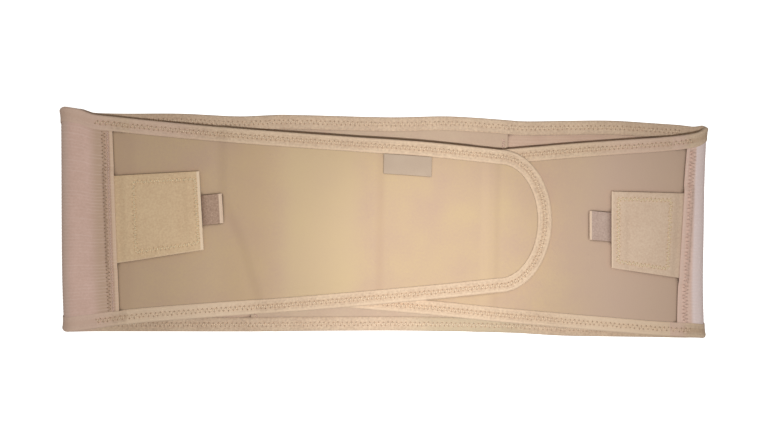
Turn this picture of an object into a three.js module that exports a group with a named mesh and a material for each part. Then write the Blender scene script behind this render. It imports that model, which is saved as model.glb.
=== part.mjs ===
// Maternity support belt, closed and laid flat with its front up.
// X runs along the belt, Y across it and Z up from the surface it lies on. Millimetres.
import * as THREE from 'three';
import { mergeVertices } from 'three/addons/utils/BufferGeometryUtils.js';

// Driving dimensions of the closed belt
const HALF_WIDTH = 232.5;
const HALF_HEIGHT = 78;
const WAIST_HEIGHT = 11.0;
const FOLD_DEPTH = 8.5;
const CLEARANCE = 0.3;

// Thicknesses: foam laminate, the same laminate pressed flat by a seam, elastic, tape and webbing
const LAMINATE = 2.0;
const PRESSED = 1.2;
const ELASTIC = 1.4;
const TAPE = 0.7;
const TAB_CLOTH = 1.5;
const HOOK_CLOTH = 0.9;
const WEBBING = 0.85;
const LABEL_CLOTH = 0.6;

// Edge binding
const TAPE_WIDTH = 10.4;
const TAPE_CORNER = 0.6;
const TAPE_RAMP = 6;
const PRESS_RAMP = 5;
const SAG_RUN = 4;

// Where the elastic side bands are sewn to the back panel and to the two front flaps
const BACK_SEAM = { left: 87, right: 73.5 };
const BACK_LAP = 12;
const BAND_FRONT = { left: 38.7, right: 20.1 };
const HEM_SLANT = 0.045;
const FRONT_LAP = 5.5;
const HEM_REACH = 8;

// Round ends of the front flaps
const FLAP_END = { left: 78, right: -55 };
const FLAP_END_DEPTH = 38;

// How the upper flap lies over the lower one
const FLAP_SAG = 1.0;
const SAG_START = 20;
const SAG_END = 70;
const DRAPE_RUN = 13;
const STEP_RUN = 8;
const MIDDLE_STEP = 0.5;
const HOOK_STEP = 0.5;

// Pull tabs, their webbing loops, the hook patch of the closure and the label
const TAB = {
  left: { length: 60, wide: 61.5, narrow: 55.5, middle: 3.2, slope: 0.122, slant: 0.072 },
  right: { length: 52.5, wide: 61.8, narrow: 55.6, middle: -2, slope: 0.067, slant: -0.02 },
};
const TAB_TUCK = 4.5;
const TAB_HOOK_MARGIN = 4;
const TAB_HOOK_START = 9;
const LOOP = { left: { length: 15, middle: 0 }, right: { length: 15.8, middle: 1.9 } };
const LOOP_WIDTH = 21;
const LOOP_ROOT = 9;
const LOOP_EYE = 1.9;
const HOOK_PATCH_MARGIN = 3;
const HOOK_PATCH_START = 70;
const LABEL = { middle: 10.8, length: 34.4, height: 14 };

// Layer offsets, outward from a panel's middle surface
const BAND_IN = PRESSED / 2 + CLEARANCE;
const BAND_OUT = BAND_IN + ELASTIC;
const BOUND_HALF = PRESSED / 2 + CLEARANCE + TAPE;
const BOUND_BAND = BAND_OUT + CLEARANCE + TAPE;
const TAB_LIFT = TAB_CLOTH + CLEARANCE;
const EDGE_INSET = TAPE + CLEARANCE;

// Heights of the middle surfaces above the ground
const LAP_REST = BOUND_BAND;
const FRONT_REST = LAP_REST + WAIST_HEIGHT;
const LOWER_FLAP_REST = FRONT_REST - FLAP_SAG;
const UPPER_FLAP_REST = LOWER_FLAP_REST + 2 * BOUND_HALF + 1.5 * CLEARANCE;

// Where each band's hem crosses the flap's middle, from the belt's middle
const HEM = { left: HALF_WIDTH - BAND_FRONT.left, right: HALF_WIDTH - BAND_FRONT.right };

// Fold at each side: half an ellipse from the back to the front
const FOLD_X = HALF_WIDTH - FOLD_DEPTH - BOUND_BAND;
const FOLD_RISE = WAIST_HEIGHT / 2;
const FOLD_LENGTH = Math.PI * Math.sqrt((FOLD_DEPTH ** 2 + FOLD_RISE ** 2) / 2);

// Outlines. x is a share of HALF_WIDTH, top and bottom are shares of HALF_HEIGHT.
const BACK_EDGES = [
  { x: -0.96, top: 1.019, bottom: -0.994 },
  { x: -0.9, top: 0.997, bottom: -0.99 },
  { x: -0.65, top: 1.017, bottom: -0.984 },
  { x: -0.47, top: 1.005, bottom: -0.98 },
  { x: -0.33, top: 1.028, bottom: -0.973 },
  { x: 0, top: 1.028, bottom: -0.959 },
  { x: 0.18, top: 1.049, bottom: -0.96 },
  { x: 0.33, top: 1.031, bottom: -0.964 },
  { x: 0.42, top: 1.019, bottom: -0.972 },
  { x: 0.55, top: 1.032, bottom: -0.991 },
  { x: 0.7, top: 1.043, bottom: -0.995 },
  { x: 0.85, top: 1.022, bottom: -0.997 },
  { x: 0.96, top: 0.992, bottom: -1.0 },
];
const FLAP_EDGES = {
  left: [
    { x: -0.96, top: 1.015, bottom: -0.972 },
    { x: -0.92, top: 0.987, bottom: -0.956 },
    { x: -0.85, top: 0.968, bottom: -0.926 },
    { x: -0.74, top: 0.94, bottom: -0.887 },
    { x: -0.53, top: 0.894, bottom: -0.832 },
    { x: -0.33, top: 0.86, bottom: -0.782 },
    { x: -0.1, top: 0.826, bottom: -0.718 },
    { x: 0.08, top: 0.801, bottom: -0.663 },
    { x: 0.19, top: 0.777, bottom: -0.628 },
    { x: 0.34, top: 0.738, bottom: -0.575 },
  ],
  right: [
    { x: -0.27, top: 0.59, bottom: -0.705 },
    { x: -0.15, top: 0.618, bottom: -0.731 },
    { x: 0.03, top: 0.665, bottom: -0.772 },
    { x: 0.15, top: 0.696, bottom: -0.8 },
    { x: 0.33, top: 0.741, bottom: -0.85 },
    { x: 0.57, top: 0.815, bottom: -0.906 },
    { x: 0.71, top: 0.853, bottom: -0.936 },
    { x: 0.85, top: 0.89, bottom: -0.965 },
    { x: 0.92, top: 0.922, bottom: -0.973 },
    { x: 0.96, top: 0.945, bottom: -0.978 },
  ],
};

// Small lean of the folds: how far each stands out at a height, as a share of FOLD_DEPTH
const FOLD_LEAN = [
  { y: -1, left: -0.27, right: 0.2 },
  { y: -0.5, left: -0.12, right: -0.02 },
  { y: 0, left: 0, right: -0.1 },
  { y: 0.5, left: 0.16, right: -0.12 },
  { y: 1, left: 0.33, right: 0.03 },
];
// How far each corner of a fold is drawn out past its edges, as a share of FOLD_DEPTH
const CORNER_DRAW = {
  left: { top: 0.2, bottom: 0.04 },
  right: { top: 0.03, bottom: 0.02 },
};

// Lines that the hidden layers print through the upper flap, x as a share of HALF_WIDTH
const TIP_LINE = [
  { y: -0.85, x: -0.385 },
  { y: -0.65, x: -0.402 },
  { y: -0.4, x: -0.43 },
  { y: -0.17, x: -0.453 },
  { y: 0.14, x: -0.497 },
  { y: 0.3, x: -0.515 },
  { y: 0.95, x: -0.52 },
];
const MIDDLE_LINE = [
  { y: -0.6, x: -0.036 },
  { y: 0.7, x: -0.088 },
];
const HOOK_LINE = [
  { y: -0.44, x: 0.3 },
  { y: 0.62, x: 0.262 },
];

const COLOURS = {
  panel: { color: 0xdcbf9f, roughness: 0.85 },
  band: { color: 0xbc9f91, roughness: 0.95 },
  tape: { color: 0xd8b995, roughness: 0.8 },
  tab: { color: 0xd9bb97, roughness: 0.85 },
  webbing: { color: 0xb59390, roughness: 0.75 },
  hook: { color: 0xcdbba4, roughness: 0.7 },
  label: { color: 0xc9b9a6, roughness: 0.8 },
};

const SIGN = { left: -1, right: 1 };
const group = new THREE.Group();

function mix(from, to, share) {
  return from + (to - from) * share;
}

// Smooth rise from 0 at start to 1 at end
function ease(start, end, value) {
  const share = THREE.MathUtils.clamp((value - start) / (end - start), 0, 1);
  return share * share * (3 - 2 * share);
}

// Smooth curve through one column of a table, read at a value of its key column
function follow(rows, key, column, value) {
  const last = rows.length - 1;
  const next = rows.findIndex((row) => row[key] > value);
  const i = next < 0 ? last - 1 : Math.max(next - 1, 0);
  const slope = (k) => {
    const a = rows[Math.max(k - 1, 0)];
    const b = rows[Math.min(k + 1, last)];
    return (b[column] - a[column]) / (b[key] - a[key]);
  };
  const [low, high] = [rows[i], rows[i + 1]];
  const span = high[key] - low[key];
  const t = THREE.MathUtils.clamp((value - low[key]) / span, 0, 1);
  const bend = (1 - t) * (slope(i) * span) - t * (slope(i + 1) * span);
  const straight = mix(low[column], high[column], t);
  return straight + t * (1 - t) * (bend - (1 - 2 * t) * (high[column] - low[column]));
}

// Numbers from start to end in equal steps no longer than the given one
function steps(start, end, step) {
  const count = Math.max(1, Math.ceil(Math.abs(end - start) / step - 1e-6));
  return Array.from({ length: count + 1 }, (_, i) => mix(start, end, i / count));
}

// Outline of the back panel and of each flap, with a flap's round end as half an ellipse
function backEdge(x, edge) {
  return HALF_HEIGHT * follow(BACK_EDGES, 'x', edge, x / HALF_WIDTH);
}

function flapEdge(side, x, edge, inset = 0) {
  const inward = edge === 'top' ? -1 : 1;
  const outline = (at, name) => HALF_HEIGHT * follow(FLAP_EDGES[side], 'x', name, at / HALF_WIDTH);
  const past = -SIGN[side] * (x - FLAP_END[side]);
  if (past <= 0) {
    return outline(x, edge) + inward * inset;
  }
  const { middle, half } = flapEnd(side);
  const share = Math.min(past / (FLAP_END_DEPTH - inset), 1);
  return middle - inward * (half - inset) * Math.sqrt(1 - share * share);
}

function flapEnd(side) {
  const at = FLAP_END[side] / HALF_WIDTH;
  const top = HALF_HEIGHT * follow(FLAP_EDGES[side], 'x', 'top', at);
  const bottom = HALF_HEIGHT * follow(FLAP_EDGES[side], 'x', 'bottom', at);
  return { middle: (top + bottom) / 2, half: (top - bottom) / 2 };
}

// Distance from a flap's outline, measured inward
function flapMargin(side, x, y) {
  const past = -SIGN[side] * (x - FLAP_END[side]);
  if (past <= 0) {
    return Math.min(flapEdge(side, x, 'top') - y, y - flapEdge(side, x, 'bottom'));
  }
  const { middle, half } = flapEnd(side);
  return (1 - Math.hypot(past / FLAP_END_DEPTH, (y - middle) / half)) * FLAP_END_DEPTH;
}

function hemX(side, y) {
  return SIGN[side] * (HEM[side] + HEM_SLANT * y);
}

// Height of the back panel's middle surface. It rests on the ground, and rises where bands lap it.
function backRest(x, y) {
  const side = x < 0 ? 'left' : 'right';
  const seam = BACK_SEAM[side];
  const margin = Math.min(backEdge(x, 'top') - y, y - backEdge(x, 'bottom'));
  const inner = ease(TAPE_WIDTH + 1, TAPE_WIDTH + PRESS_RAMP + SAG_RUN, margin);
  const flat = mix(BOUND_HALF, LAMINATE / 2, inner);
  return mix(flat, LAP_REST, ease(seam - 3 * TAPE_RAMP, seam - TAPE_RAMP, Math.abs(x)));
}

// Height of a flap's middle surface. The upper flap climbs onto the lower one's round end.
function flapRest(side, x, y) {
  if (side === 'right') {
    return mix(FRONT_REST, LOWER_FLAP_REST, ease(HEM.right - SAG_START, HEM.right - SAG_END, x));
  }
  const beyond = (line, run) => {
    const start = HALF_WIDTH * follow(line, 'y', 'x', y / HALF_HEIGHT);
    return ease(start, start + run, x);
  };
  return (
    mix(FRONT_REST, UPPER_FLAP_REST, beyond(TIP_LINE, DRAPE_RUN)) +
    MIDDLE_STEP * beyond(MIDDLE_LINE, STEP_RUN) +
    HOOK_STEP * beyond(HOOK_LINE, STEP_RUN)
  );
}

// A belt half runs from the back, round its fold, to the front. t is the length along it:
// negative on the back, 0 to FOLD_LENGTH round the fold, more on the front.
function backT(x) {
  return Math.abs(x) - FOLD_X;
}

function frontT(x) {
  return FOLD_LENGTH + FOLD_X - Math.abs(x);
}

// Point of a belt half at t and y, at an offset outward from the middle surface
function onHalf(side, t, y, offset) {
  const sign = SIGN[side];
  if (t <= 0) {
    const x = sign * (FOLD_X + t);
    return new THREE.Vector3(x, y, backRest(x, y) - offset);
  }
  if (t >= FOLD_LENGTH) {
    const x = sign * (FOLD_X + FOLD_LENGTH - t);
    return new THREE.Vector3(x, y, flapRest(side, x, y) + offset);
  }
  const angle = (Math.PI * t) / FOLD_LENGTH;
  const normal = new THREE.Vector2(FOLD_RISE * Math.sin(angle), -FOLD_DEPTH * Math.cos(angle));
  normal.normalize().multiplyScalar(offset);
  const out = FOLD_X + FOLD_DEPTH * Math.sin(angle) + normal.x;
  const up = LAP_REST + FOLD_RISE * (1 - Math.cos(angle)) + normal.y;
  return new THREE.Vector3(sign * out, y, up);
}

// Top or bottom outline of a belt half at t
function halfEdge(side, t, edge) {
  const sign = SIGN[side];
  const back = backEdge(sign * (FOLD_X + Math.min(t, 0)), edge);
  const front = flapEdge(side, sign * (FOLD_X - Math.max(t - FOLD_LENGTH, 0)), edge);
  if (t <= 0) {
    return back;
  }
  if (t >= FOLD_LENGTH) {
    return front;
  }
  const draw = CORNER_DRAW[side][edge] * FOLD_DEPTH * Math.sin((Math.PI * t) / FOLD_LENGTH);
  return mix(back, front, t / FOLD_LENGTH) + (edge === 'top' ? draw : -draw);
}

// The folds lean a little: everything near them shifts outward with them
function lean(point) {
  const side = point.x < 0 ? 'left' : 'right';
  const reach = ease(HEM.left - 2 * TAPE_RAMP, FOLD_X, Math.abs(point.x));
  const share = follow(FOLD_LEAN, 'y', side, THREE.MathUtils.clamp(point.y / HALF_HEIGHT, -1, 1));
  point.x += SIGN[side] * FOLD_DEPTH * share * reach;
  return point;
}

// Adds one piece. Its box is bent so that column i, row j and face k land on place(i, j, k).
function addCloth(name, finish, columns, rows, place) {
  const box = new THREE.BoxGeometry(1, 1, 1, columns.length - 1, rows.length - 1, 1);
  const corners = box.attributes.position;
  for (let i = 0; i < corners.count; i += 1) {
    const column = Math.round((corners.getX(i) + 0.5) * (columns.length - 1));
    const row = Math.round((corners.getY(i) + 0.5) * (rows.length - 1));
    const point = place(columns[column], rows[row], Math.round(corners.getZ(i) + 0.5));
    corners.setXYZ(i, point.x, point.y, point.z);
  }
  addPiece(name, finish, box);
}

// Merges a shape into one closed mesh with its faces outward, and adds it to the belt
function addPiece(name, finish, geometry) {
  geometry.deleteAttribute('normal');
  geometry.deleteAttribute('uv');
  geometry.clearGroups();
  const closed = mergeVertices(geometry, 1e-3);
  if (volume(closed) < 0) {
    const index = closed.index;
    for (let i = 0; i < index.count; i += 3) {
      const first = index.getX(i);
      index.setX(i, index.getX(i + 1));
      index.setX(i + 1, first);
    }
  }
  closed.computeVertexNormals();
  const mesh = new THREE.Mesh(closed, new THREE.MeshStandardMaterial({ ...finish, metalness: 0 }));
  mesh.name = name;
  group.add(mesh);
}

function volume(geometry) {
  const corner = (i) => {
    return new THREE.Vector3().fromBufferAttribute(geometry.attributes.position, geometry.index.getX(i));
  };
  let total = 0;
  for (let i = 0; i < geometry.index.count; i += 3) {
    total += corner(i).dot(corner(i + 1).cross(corner(i + 2))) / 6;
  }
  return total;
}

// Back panel: one foam laminate piece, pressed flat under the binding and under both bands
function addBackPanel() {
  const left = -(BACK_SEAM.left + BACK_LAP);
  const right = BACK_SEAM.right + BACK_LAP;
  const ramp = 3 * TAPE_RAMP;
  const columns = [
    ...steps(left, -BACK_SEAM.left, BACK_LAP),
    ...steps(-BACK_SEAM.left + 1, -BACK_SEAM.left + ramp, TAPE_RAMP),
    ...steps(-BACK_SEAM.left + 2 * ramp, BACK_SEAM.right - 2 * ramp, 22),
    ...steps(BACK_SEAM.right - ramp, BACK_SEAM.right - 1, TAPE_RAMP),
    ...steps(BACK_SEAM.right, right, BACK_LAP),
  ];
  const inner = TAPE_WIDTH + PRESS_RAMP;
  const rows = [
    { edge: 'bottom', in: EDGE_INSET },
    { edge: 'bottom', in: TAPE_WIDTH + 1 },
    { edge: 'bottom', in: inner + SAG_RUN },
    { edge: 'middle' },
    { edge: 'top', in: inner + SAG_RUN },
    { edge: 'top', in: TAPE_WIDTH + 1 },
    { edge: 'top', in: EDGE_INSET },
  ];
  addCloth('back_panel', COLOURS.panel, columns, rows, (x, row, face) => {
    const y = rowHeight(row, backEdge(x, 'top'), backEdge(x, 'bottom'));
    const margin = Math.min(backEdge(x, 'top') - y, y - backEdge(x, 'bottom'));
    const seam = x < 0 ? BACK_SEAM.left : BACK_SEAM.right;
    const open = ease(seam - 1, seam - TAPE_RAMP, Math.abs(x));
    const full = Math.min(open, ease(TAPE_WIDTH + 1, inner, margin));
    const half = mix(PRESSED, LAMINATE, full) / 2;
    return new THREE.Vector3(x, y, backRest(x, y) + (face ? half : -half));
  });
}

function rowHeight(row, top, bottom) {
  if (row.edge === 'middle') {
    return (top + bottom) / 2;
  }
  const inward = Math.min(row.in, 0.42 * (top - bottom));
  return row.edge === 'top' ? top - inward : bottom + inward;
}

// Front flap: from under the band's hem to its round end, pressed flat under the binding and hem
function addFrontFlap(side, columnsInside) {
  const sign = SIGN[side];
  const start = sign * (HEM[side] + FRONT_LAP);
  const end = FLAP_END[side];
  const depth = FLAP_END_DEPTH - EDGE_INSET;
  const round = [18, 35, 50, 63, 74, 82].map((degrees) => {
    return end - sign * depth * Math.sin(THREE.MathUtils.degToRad(degrees));
  });
  const columns = [start, ...columnsInside, end, ...round];
  const inner = TAPE_WIDTH + PRESS_RAMP;
  const rows = [
    { edge: 'bottom', in: 0 },
    { edge: 'bottom', in: TAPE_WIDTH },
    { edge: 'bottom', in: inner },
    { edge: 'bottom', in: 0.35 * HALF_HEIGHT },
    { edge: 'middle' },
    { edge: 'top', in: 0.35 * HALF_HEIGHT },
    { edge: 'top', in: inner },
    { edge: 'top', in: TAPE_WIDTH },
    { edge: 'top', in: 0 },
  ];
  addCloth(`${side}_front_flap`, COLOURS.panel, columns, rows, (x, row, face) => {
    const top = flapEdge(side, x, 'top', EDGE_INSET);
    const bottom = flapEdge(side, x, 'bottom', EDGE_INSET);
    const y = rowHeight(row, top, bottom);
    const fromHem = Math.abs(hemX(side, y)) - Math.abs(x);
    const clearOfHem = x * sign > 0 ? ease(1, PRESS_RAMP, fromHem) : 1;
    const clearOfTape = ease(TAPE_WIDTH + 0.6, inner, flapMargin(side, x, y));
    const half = mix(PRESSED, LAMINATE, Math.min(clearOfHem, clearOfTape)) / 2;
    return lean(new THREE.Vector3(x, y, flapRest(side, x, y) + (face ? half : -half)));
  });
}

// Stations along a band's back stretch and round its fold, shared with the binding that wraps it
function lapStations(side) {
  const lapEnd = backT(BACK_SEAM[side]) + BACK_LAP;
  return [
    ...steps(lapEnd + 1, lapEnd + TAPE_RAMP, TAPE_RAMP / 2),
    ...steps(lapEnd + 2 * TAPE_RAMP, -2 * TAPE_RAMP, 32),
  ];
}

function foldStations() {
  return steps(-2, FOLD_LENGTH - TAPE_RAMP / 2, FOLD_LENGTH / 9);
}

// Side band: ribbed elastic from its lap on the back panel, round the fold, to its hem on the flap
function addSideBand(side) {
  const tab = TAB[side];
  const ramp = TAPE_RAMP / 2;
  const tuck = TAB_TUCK + 1;
  const foldEnd = FOLD_LENGTH - TAPE_RAMP / 2;
  const front = frontT(HEM[side]) - foldEnd;
  const nearHem = [tuck + ramp, tuck + ramp / 2, tuck, tuck / 2, 0];
  const beforeHem = front > 3 * TAPE_RAMP ? [front - ramp, (front + tuck) / 2, ...nearHem] : nearHem;
  const columns = [
    ...[backT(BACK_SEAM[side]), ...lapStations(side), ...foldStations()].map((t) => ({ t })),
    ...beforeHem.map((before) => ({ share: 1 - before / front })),
  ];
  const low = tab.middle - tab.wide / 2 - 1;
  const high = tab.middle + tab.wide / 2 + 1;
  const rows = ['bottom', low - TAPE_RAMP, low, tab.middle, high, high + TAPE_RAMP, 'top'];
  addCloth(`${side}_side_band`, COLOURS.band, columns, rows, (column, row, face) => {
    const hem = frontT(hemX(side, { bottom: -HALF_HEIGHT, top: HALF_HEIGHT }[row] ?? row));
    const t = column.t ?? mix(foldEnd, hem, column.share);
    const inward = row === 'top' ? -EDGE_INSET : EDGE_INSET;
    const y = typeof row === 'number' ? row : halfEdge(side, t, row) + inward;
    const overTab = ease(low - TAPE_RAMP, low, y) * ease(high + TAPE_RAMP, high, y);
    const lift = TAB_LIFT * overTab * ease(hem - tuck - ramp, hem - tuck, t);
    return lean(onHalf(side, t, y, (face ? BAND_OUT : BAND_IN) + lift));
  });
}

// Shape of the folded tape: how far in from its outer edge, and which layer, for both its faces
function tapeSection(k, face, high, low) {
  const outer = [
    [TAPE_WIDTH, high + TAPE],
    [TAPE_CORNER, high + TAPE],
    [0, high + TAPE - TAPE_CORNER],
    [0, low - TAPE + TAPE_CORNER],
    [TAPE_CORNER, low - TAPE],
    [TAPE_WIDTH, low - TAPE],
  ];
  const inner = [
    [TAPE_WIDTH, high],
    [EDGE_INSET, high],
    [TAPE, high - CLEARANCE],
    [TAPE, low + CLEARANCE],
    [EDGE_INSET, low],
    [TAPE_WIDTH, low],
  ];
  return (face ? outer : inner)[k];
}

// Layers that the tape wraps at t on a belt half: band, back panel and flap come and go
function wrapped(side, t) {
  const seam = backT(BACK_SEAM[side]);
  const hem = frontT(HEM[side]);
  const backEnd = seam + BACK_LAP;
  const flapStart = frontT(HEM[side] + FRONT_LAP);
  const band = ease(seam - TAPE_RAMP, seam - 1, t) * ease(hem + TAPE_RAMP, hem + 3, t);
  const onBack = ease(backEnd + TAPE_RAMP, backEnd + 1, t);
  const onFlap = ease(flapStart - TAPE_RAMP, flapStart - 1, t);
  return {
    high: mix(PRESSED / 2, BAND_OUT, band) + CLEARANCE,
    low: mix(BAND_IN, -PRESSED / 2, Math.max(onBack, onFlap)) - CLEARANCE,
  };
}

// Binding of one long edge of the back: from hem to hem, round both folds
function addBackBinding(edge) {
  const stations = (side) => {
    const seam = backT(BACK_SEAM[side]);
    const hem = frontT(HEM[side]);
    return [
      ...steps(seam - 3 * TAPE_RAMP, seam - TAPE_RAMP, TAPE_RAMP),
      seam - TAPE_RAMP / 2,
      seam - 1,
      ...lapStations(side),
      ...foldStations(),
      ...steps(FOLD_LENGTH, hem, 6),
      hem + 3,
      hem + 4.5,
      hem + TAPE_RAMP,
      hem + HEM_REACH,
    ].map((t) => ({ side, t }));
  };
  const leftPart = stations('left').reverse();
  const rightPart = stations('right');
  const from = -(FOLD_X + leftPart[leftPart.length - 1].t);
  const to = FOLD_X + rightPart[0].t;
  const middle = steps(from, to, 30).slice(1, -1);
  const centre = middle.map((x) => ({ side: x < 0 ? 'left' : 'right', t: backT(x) }));
  const columns = [...leftPart, ...centre, ...rightPart];
  const inward = edge === 'top' ? -1 : 1;
  addCloth(`back_${edge}_binding`, COLOURS.tape, columns, [0, 1, 2, 3, 4, 5], (column, k, face) => {
    const { high, low } = wrapped(column.side, column.t);
    const [margin, offset] = tapeSection(k, face, high, low);
    const y = halfEdge(column.side, column.t, edge) + inward * margin;
    return lean(onHalf(column.side, column.t, y, offset));
  });
}

// Binding of a front flap: along its top edge, round its end and back along its bottom edge
function addFlapBinding(side, columnsInside) {
  const sign = SIGN[side];
  const start = sign * (HEM[side] - HEM_REACH - CLEARANCE);
  const { middle, half } = flapEnd(side);
  const straight = [start, ...columnsInside.filter((x) => sign * (start - x) > 3)];
  const along = (edge) => straight.map((x) => new THREE.Vector2(x, flapEdge(side, x, edge)));
  const turns = steps(90, -90, 12).map((degrees) => {
    const angle = THREE.MathUtils.degToRad(degrees);
    const x = FLAP_END[side] - sign * FLAP_END_DEPTH * Math.cos(angle);
    return new THREE.Vector2(x, middle + half * Math.sin(angle));
  });
  const points = [...along('top'), ...turns, ...along('bottom').reverse()];
  const last = points.length - 1;
  const columns = points.map((point, i) => {
    const ahead = points[Math.min(i + 1, last)].clone().sub(points[Math.max(i - 1, 0)]).normalize();
    const inward = new THREE.Vector2(-sign * ahead.y, sign * ahead.x);
    if (i === 0 || i === last) {
      inward.set(0, Math.sign(inward.y));
    }
    return { point, inward };
  });
  const layers = { high: PRESSED / 2 + CLEARANCE, low: -PRESSED / 2 - CLEARANCE };
  addCloth(`${side}_flap_binding`, COLOURS.tape, columns, [0, 1, 2, 3, 4, 5], (column, k, face) => {
    const [margin, offset] = tapeSection(k, face, layers.high, layers.low);
    const at = column.point.clone().addScaledVector(column.inward, margin);
    return lean(new THREE.Vector3(at.x, at.y, flapRest(side, at.x, at.y) + offset));
  });
}

// Point of a pull tab: along from the band's hem, and across from its middle line
function onTab(side, along, across, offset) {
  const tab = TAB[side];
  const sign = SIGN[side];
  const slant = mix(HEM_SLANT, tab.slant, THREE.MathUtils.clamp(along / tab.length, 0, 1));
  const y = tab.middle + tab.slope * along + across;
  const x = sign * (HEM[side] + slant * y - along);
  return lean(new THREE.Vector3(x, y, flapRest(side, x, y) + offset));
}

function tabHalfWidth(side, along) {
  const tab = TAB[side];
  return mix(tab.wide, tab.narrow, THREE.MathUtils.clamp(along / tab.length, 0, 1)) / 2;
}

// Level of a pull tab's inner face: under the hem, over its hook patch, over the loop's root
function tabLevel(side, along) {
  const length = TAB[side].length;
  const overHook = LAMINATE / 2 + 2 * CLEARANCE + HOOK_CLOTH;
  const overLoop = LAMINATE / 2 + 2 * CLEARANCE + 2 * WEBBING;
  const clearOfHem = mix(BAND_IN, overHook, ease(1.5, TAB_HOOK_START - 1, along));
  const rootStart = length - LOOP_ROOT;
  return mix(clearOfHem, overLoop, ease(rootStart - 4, rootStart - 0.5, along));
}

// Pull tab: a square of laminate with its wide end caught under the band's hem
function addPullTab(side) {
  const length = TAB[side].length;
  const columns = [
    ...steps(-TAB_TUCK, 1.5, 3),
    ...steps(3, TAB_HOOK_START, 2),
    ...steps(TAB_HOOK_START + 8, length - LOOP_ROOT - 5, 14),
    ...steps(length - LOOP_ROOT - 3, length, 3),
  ];
  const rows = [-1, -0.5, 0, 0.5, 1];
  addCloth(`${side}_pull_tab`, COLOURS.tab, columns, rows, (along, across, face) => {
    const level = tabLevel(side, along) + (face ? TAB_CLOTH : 0);
    return onTab(side, along, across * tabHalfWidth(side, along), level);
  });
  const hookColumns = steps(TAB_HOOK_START, length - LOOP_ROOT - 5, 12);
  addCloth(`${side}_tab_hook`, COLOURS.hook, hookColumns, rows, (along, across, face) => {
    const level = LAMINATE / 2 + CLEARANCE + (face ? HOOK_CLOTH : 0);
    return onTab(side, along, across * (tabHalfWidth(side, along) - TAB_HOOK_MARGIN), level);
  });
}

// Webbing loop: a strip folded on itself, its ends pressed together under the tab's free end
function addPullLoop(side) {
  const { length, middle } = LOOP[side];
  const low = LAMINATE / 2 + CLEARANCE;
  const flat = 2 * WEBBING;
  const swell = (along) => LOOP_EYE * Math.sin(Math.PI * Math.sqrt(ease(1, length - 1, along)));
  const outline = new THREE.Shape();
  outline.moveTo(-LOOP_ROOT + 0.5, low);
  outline.lineTo(length - WEBBING, low);
  outline.lineTo(length, low + WEBBING);
  const top = steps(length - 0.3, 1, 2.2).map((along) => [along, low + flat + swell(along)]);
  top.forEach(([along, level]) => outline.lineTo(along, level));
  outline.lineTo(-LOOP_ROOT + 0.5, low + flat);
  const eye = new THREE.Path();
  const inside = steps(3.5, length - WEBBING - 0.3, 1.8);
  eye.moveTo(2.2, low + WEBBING);
  inside.forEach((along) => eye.lineTo(along, low + WEBBING + Math.max(swell(along), 0.1)));
  eye.lineTo(length - WEBBING - 0.1, low + WEBBING);
  outline.holes.push(eye);
  const strip = new THREE.ExtrudeGeometry(outline, { depth: LOOP_WIDTH, bevelEnabled: false });
  const corners = strip.attributes.position;
  for (let i = 0; i < corners.count; i += 1) {
    const along = TAB[side].length + corners.getX(i);
    const point = onTab(side, along, middle + corners.getZ(i) - LOOP_WIDTH / 2, corners.getY(i));
    corners.setXYZ(i, point.x, point.y, point.z);
  }
  addPiece(`${side}_pull_loop`, COLOURS.webbing, strip);
}

// Hook patch under the upper flap's round end, where it closes on the lower flap
function addHookPatch() {
  const margin = TAPE_WIDTH + HOOK_PATCH_MARGIN;
  const end = FLAP_END.left + FLAP_END_DEPTH - margin;
  const columns = [...steps(HOOK_PATCH_START, end - 3, 6), end - 0.8];
  addCloth('flap_hook_patch', COLOURS.hook, columns, [0, 0.25, 0.5, 0.75, 1], (x, row, face) => {
    const top = flapEdge('left', x, 'top', margin);
    const bottom = flapEdge('left', x, 'bottom', margin);
    const y = mix(bottom, top, row);
    const level = -LAMINATE / 2 - CLEARANCE - (face ? 0 : HOOK_CLOTH);
    return new THREE.Vector3(x, y, flapRest('left', x, y) + level);
  });
}

// Woven label, caught under the binding at the upper flap's top edge
function addLabel() {
  const columns = steps(LABEL.middle - LABEL.length / 2, LABEL.middle + LABEL.length / 2, 9);
  addCloth('label', COLOURS.label, columns, [0, 0.5, 1], (x, row, face) => {
    const top = flapEdge('left', x, 'top') - TAPE_WIDTH - CLEARANCE;
    const y = top - LABEL.height * (1 - row);
    const level = LAMINATE / 2 + CLEARANCE + (face ? LABEL_CLOTH : 0);
    return new THREE.Vector3(x, y, flapRest('left', x, y) + level);
  });
}

// Columns of each flap, closer together where the flap bends
const TIP_X = HALF_WIDTH * TIP_LINE[4].x;
const leftColumns = [
  ...[1, 3, 6, 9].map((step) => -(HEM.left - step)),
  ...steps(-(HEM.left - 20), TIP_X - 10, 16),
  ...steps(TIP_X - 3, TIP_X + 46, 4.5),
  ...steps(TIP_X + 60, HALF_WIDTH * MIDDLE_LINE[1].x - 2, 20),
  ...steps(HALF_WIDTH * MIDDLE_LINE[1].x, HALF_WIDTH * MIDDLE_LINE[0].x + STEP_RUN, 4.5),
  ...steps(HALF_WIDTH * MIDDLE_LINE[0].x + 2 * STEP_RUN, HALF_WIDTH * HOOK_LINE[1].x - 3, 16),
  ...steps(HALF_WIDTH * HOOK_LINE[1].x, FLAP_END.left - 4, 4.5),
];
const rightColumns = [
  ...[1, 3, 6, 9].map((step) => HEM.right - step),
  ...steps(HEM.right - SAG_START, HEM.right - SAG_END, 12),
  ...steps(HEM.right - SAG_END - 20, FLAP_END.right + 14, 30),
];

addBackPanel();
for (const side of ['left', 'right']) {
  addSideBand(side);
  const columns = side === 'left' ? leftColumns : rightColumns;
  addFrontFlap(side, columns);
  addFlapBinding(side, columns);
  addPullTab(side);
  addPullLoop(side);
}
addBackBinding('top');
addBackBinding('bottom');
addHookPatch();
addLabel();

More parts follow.
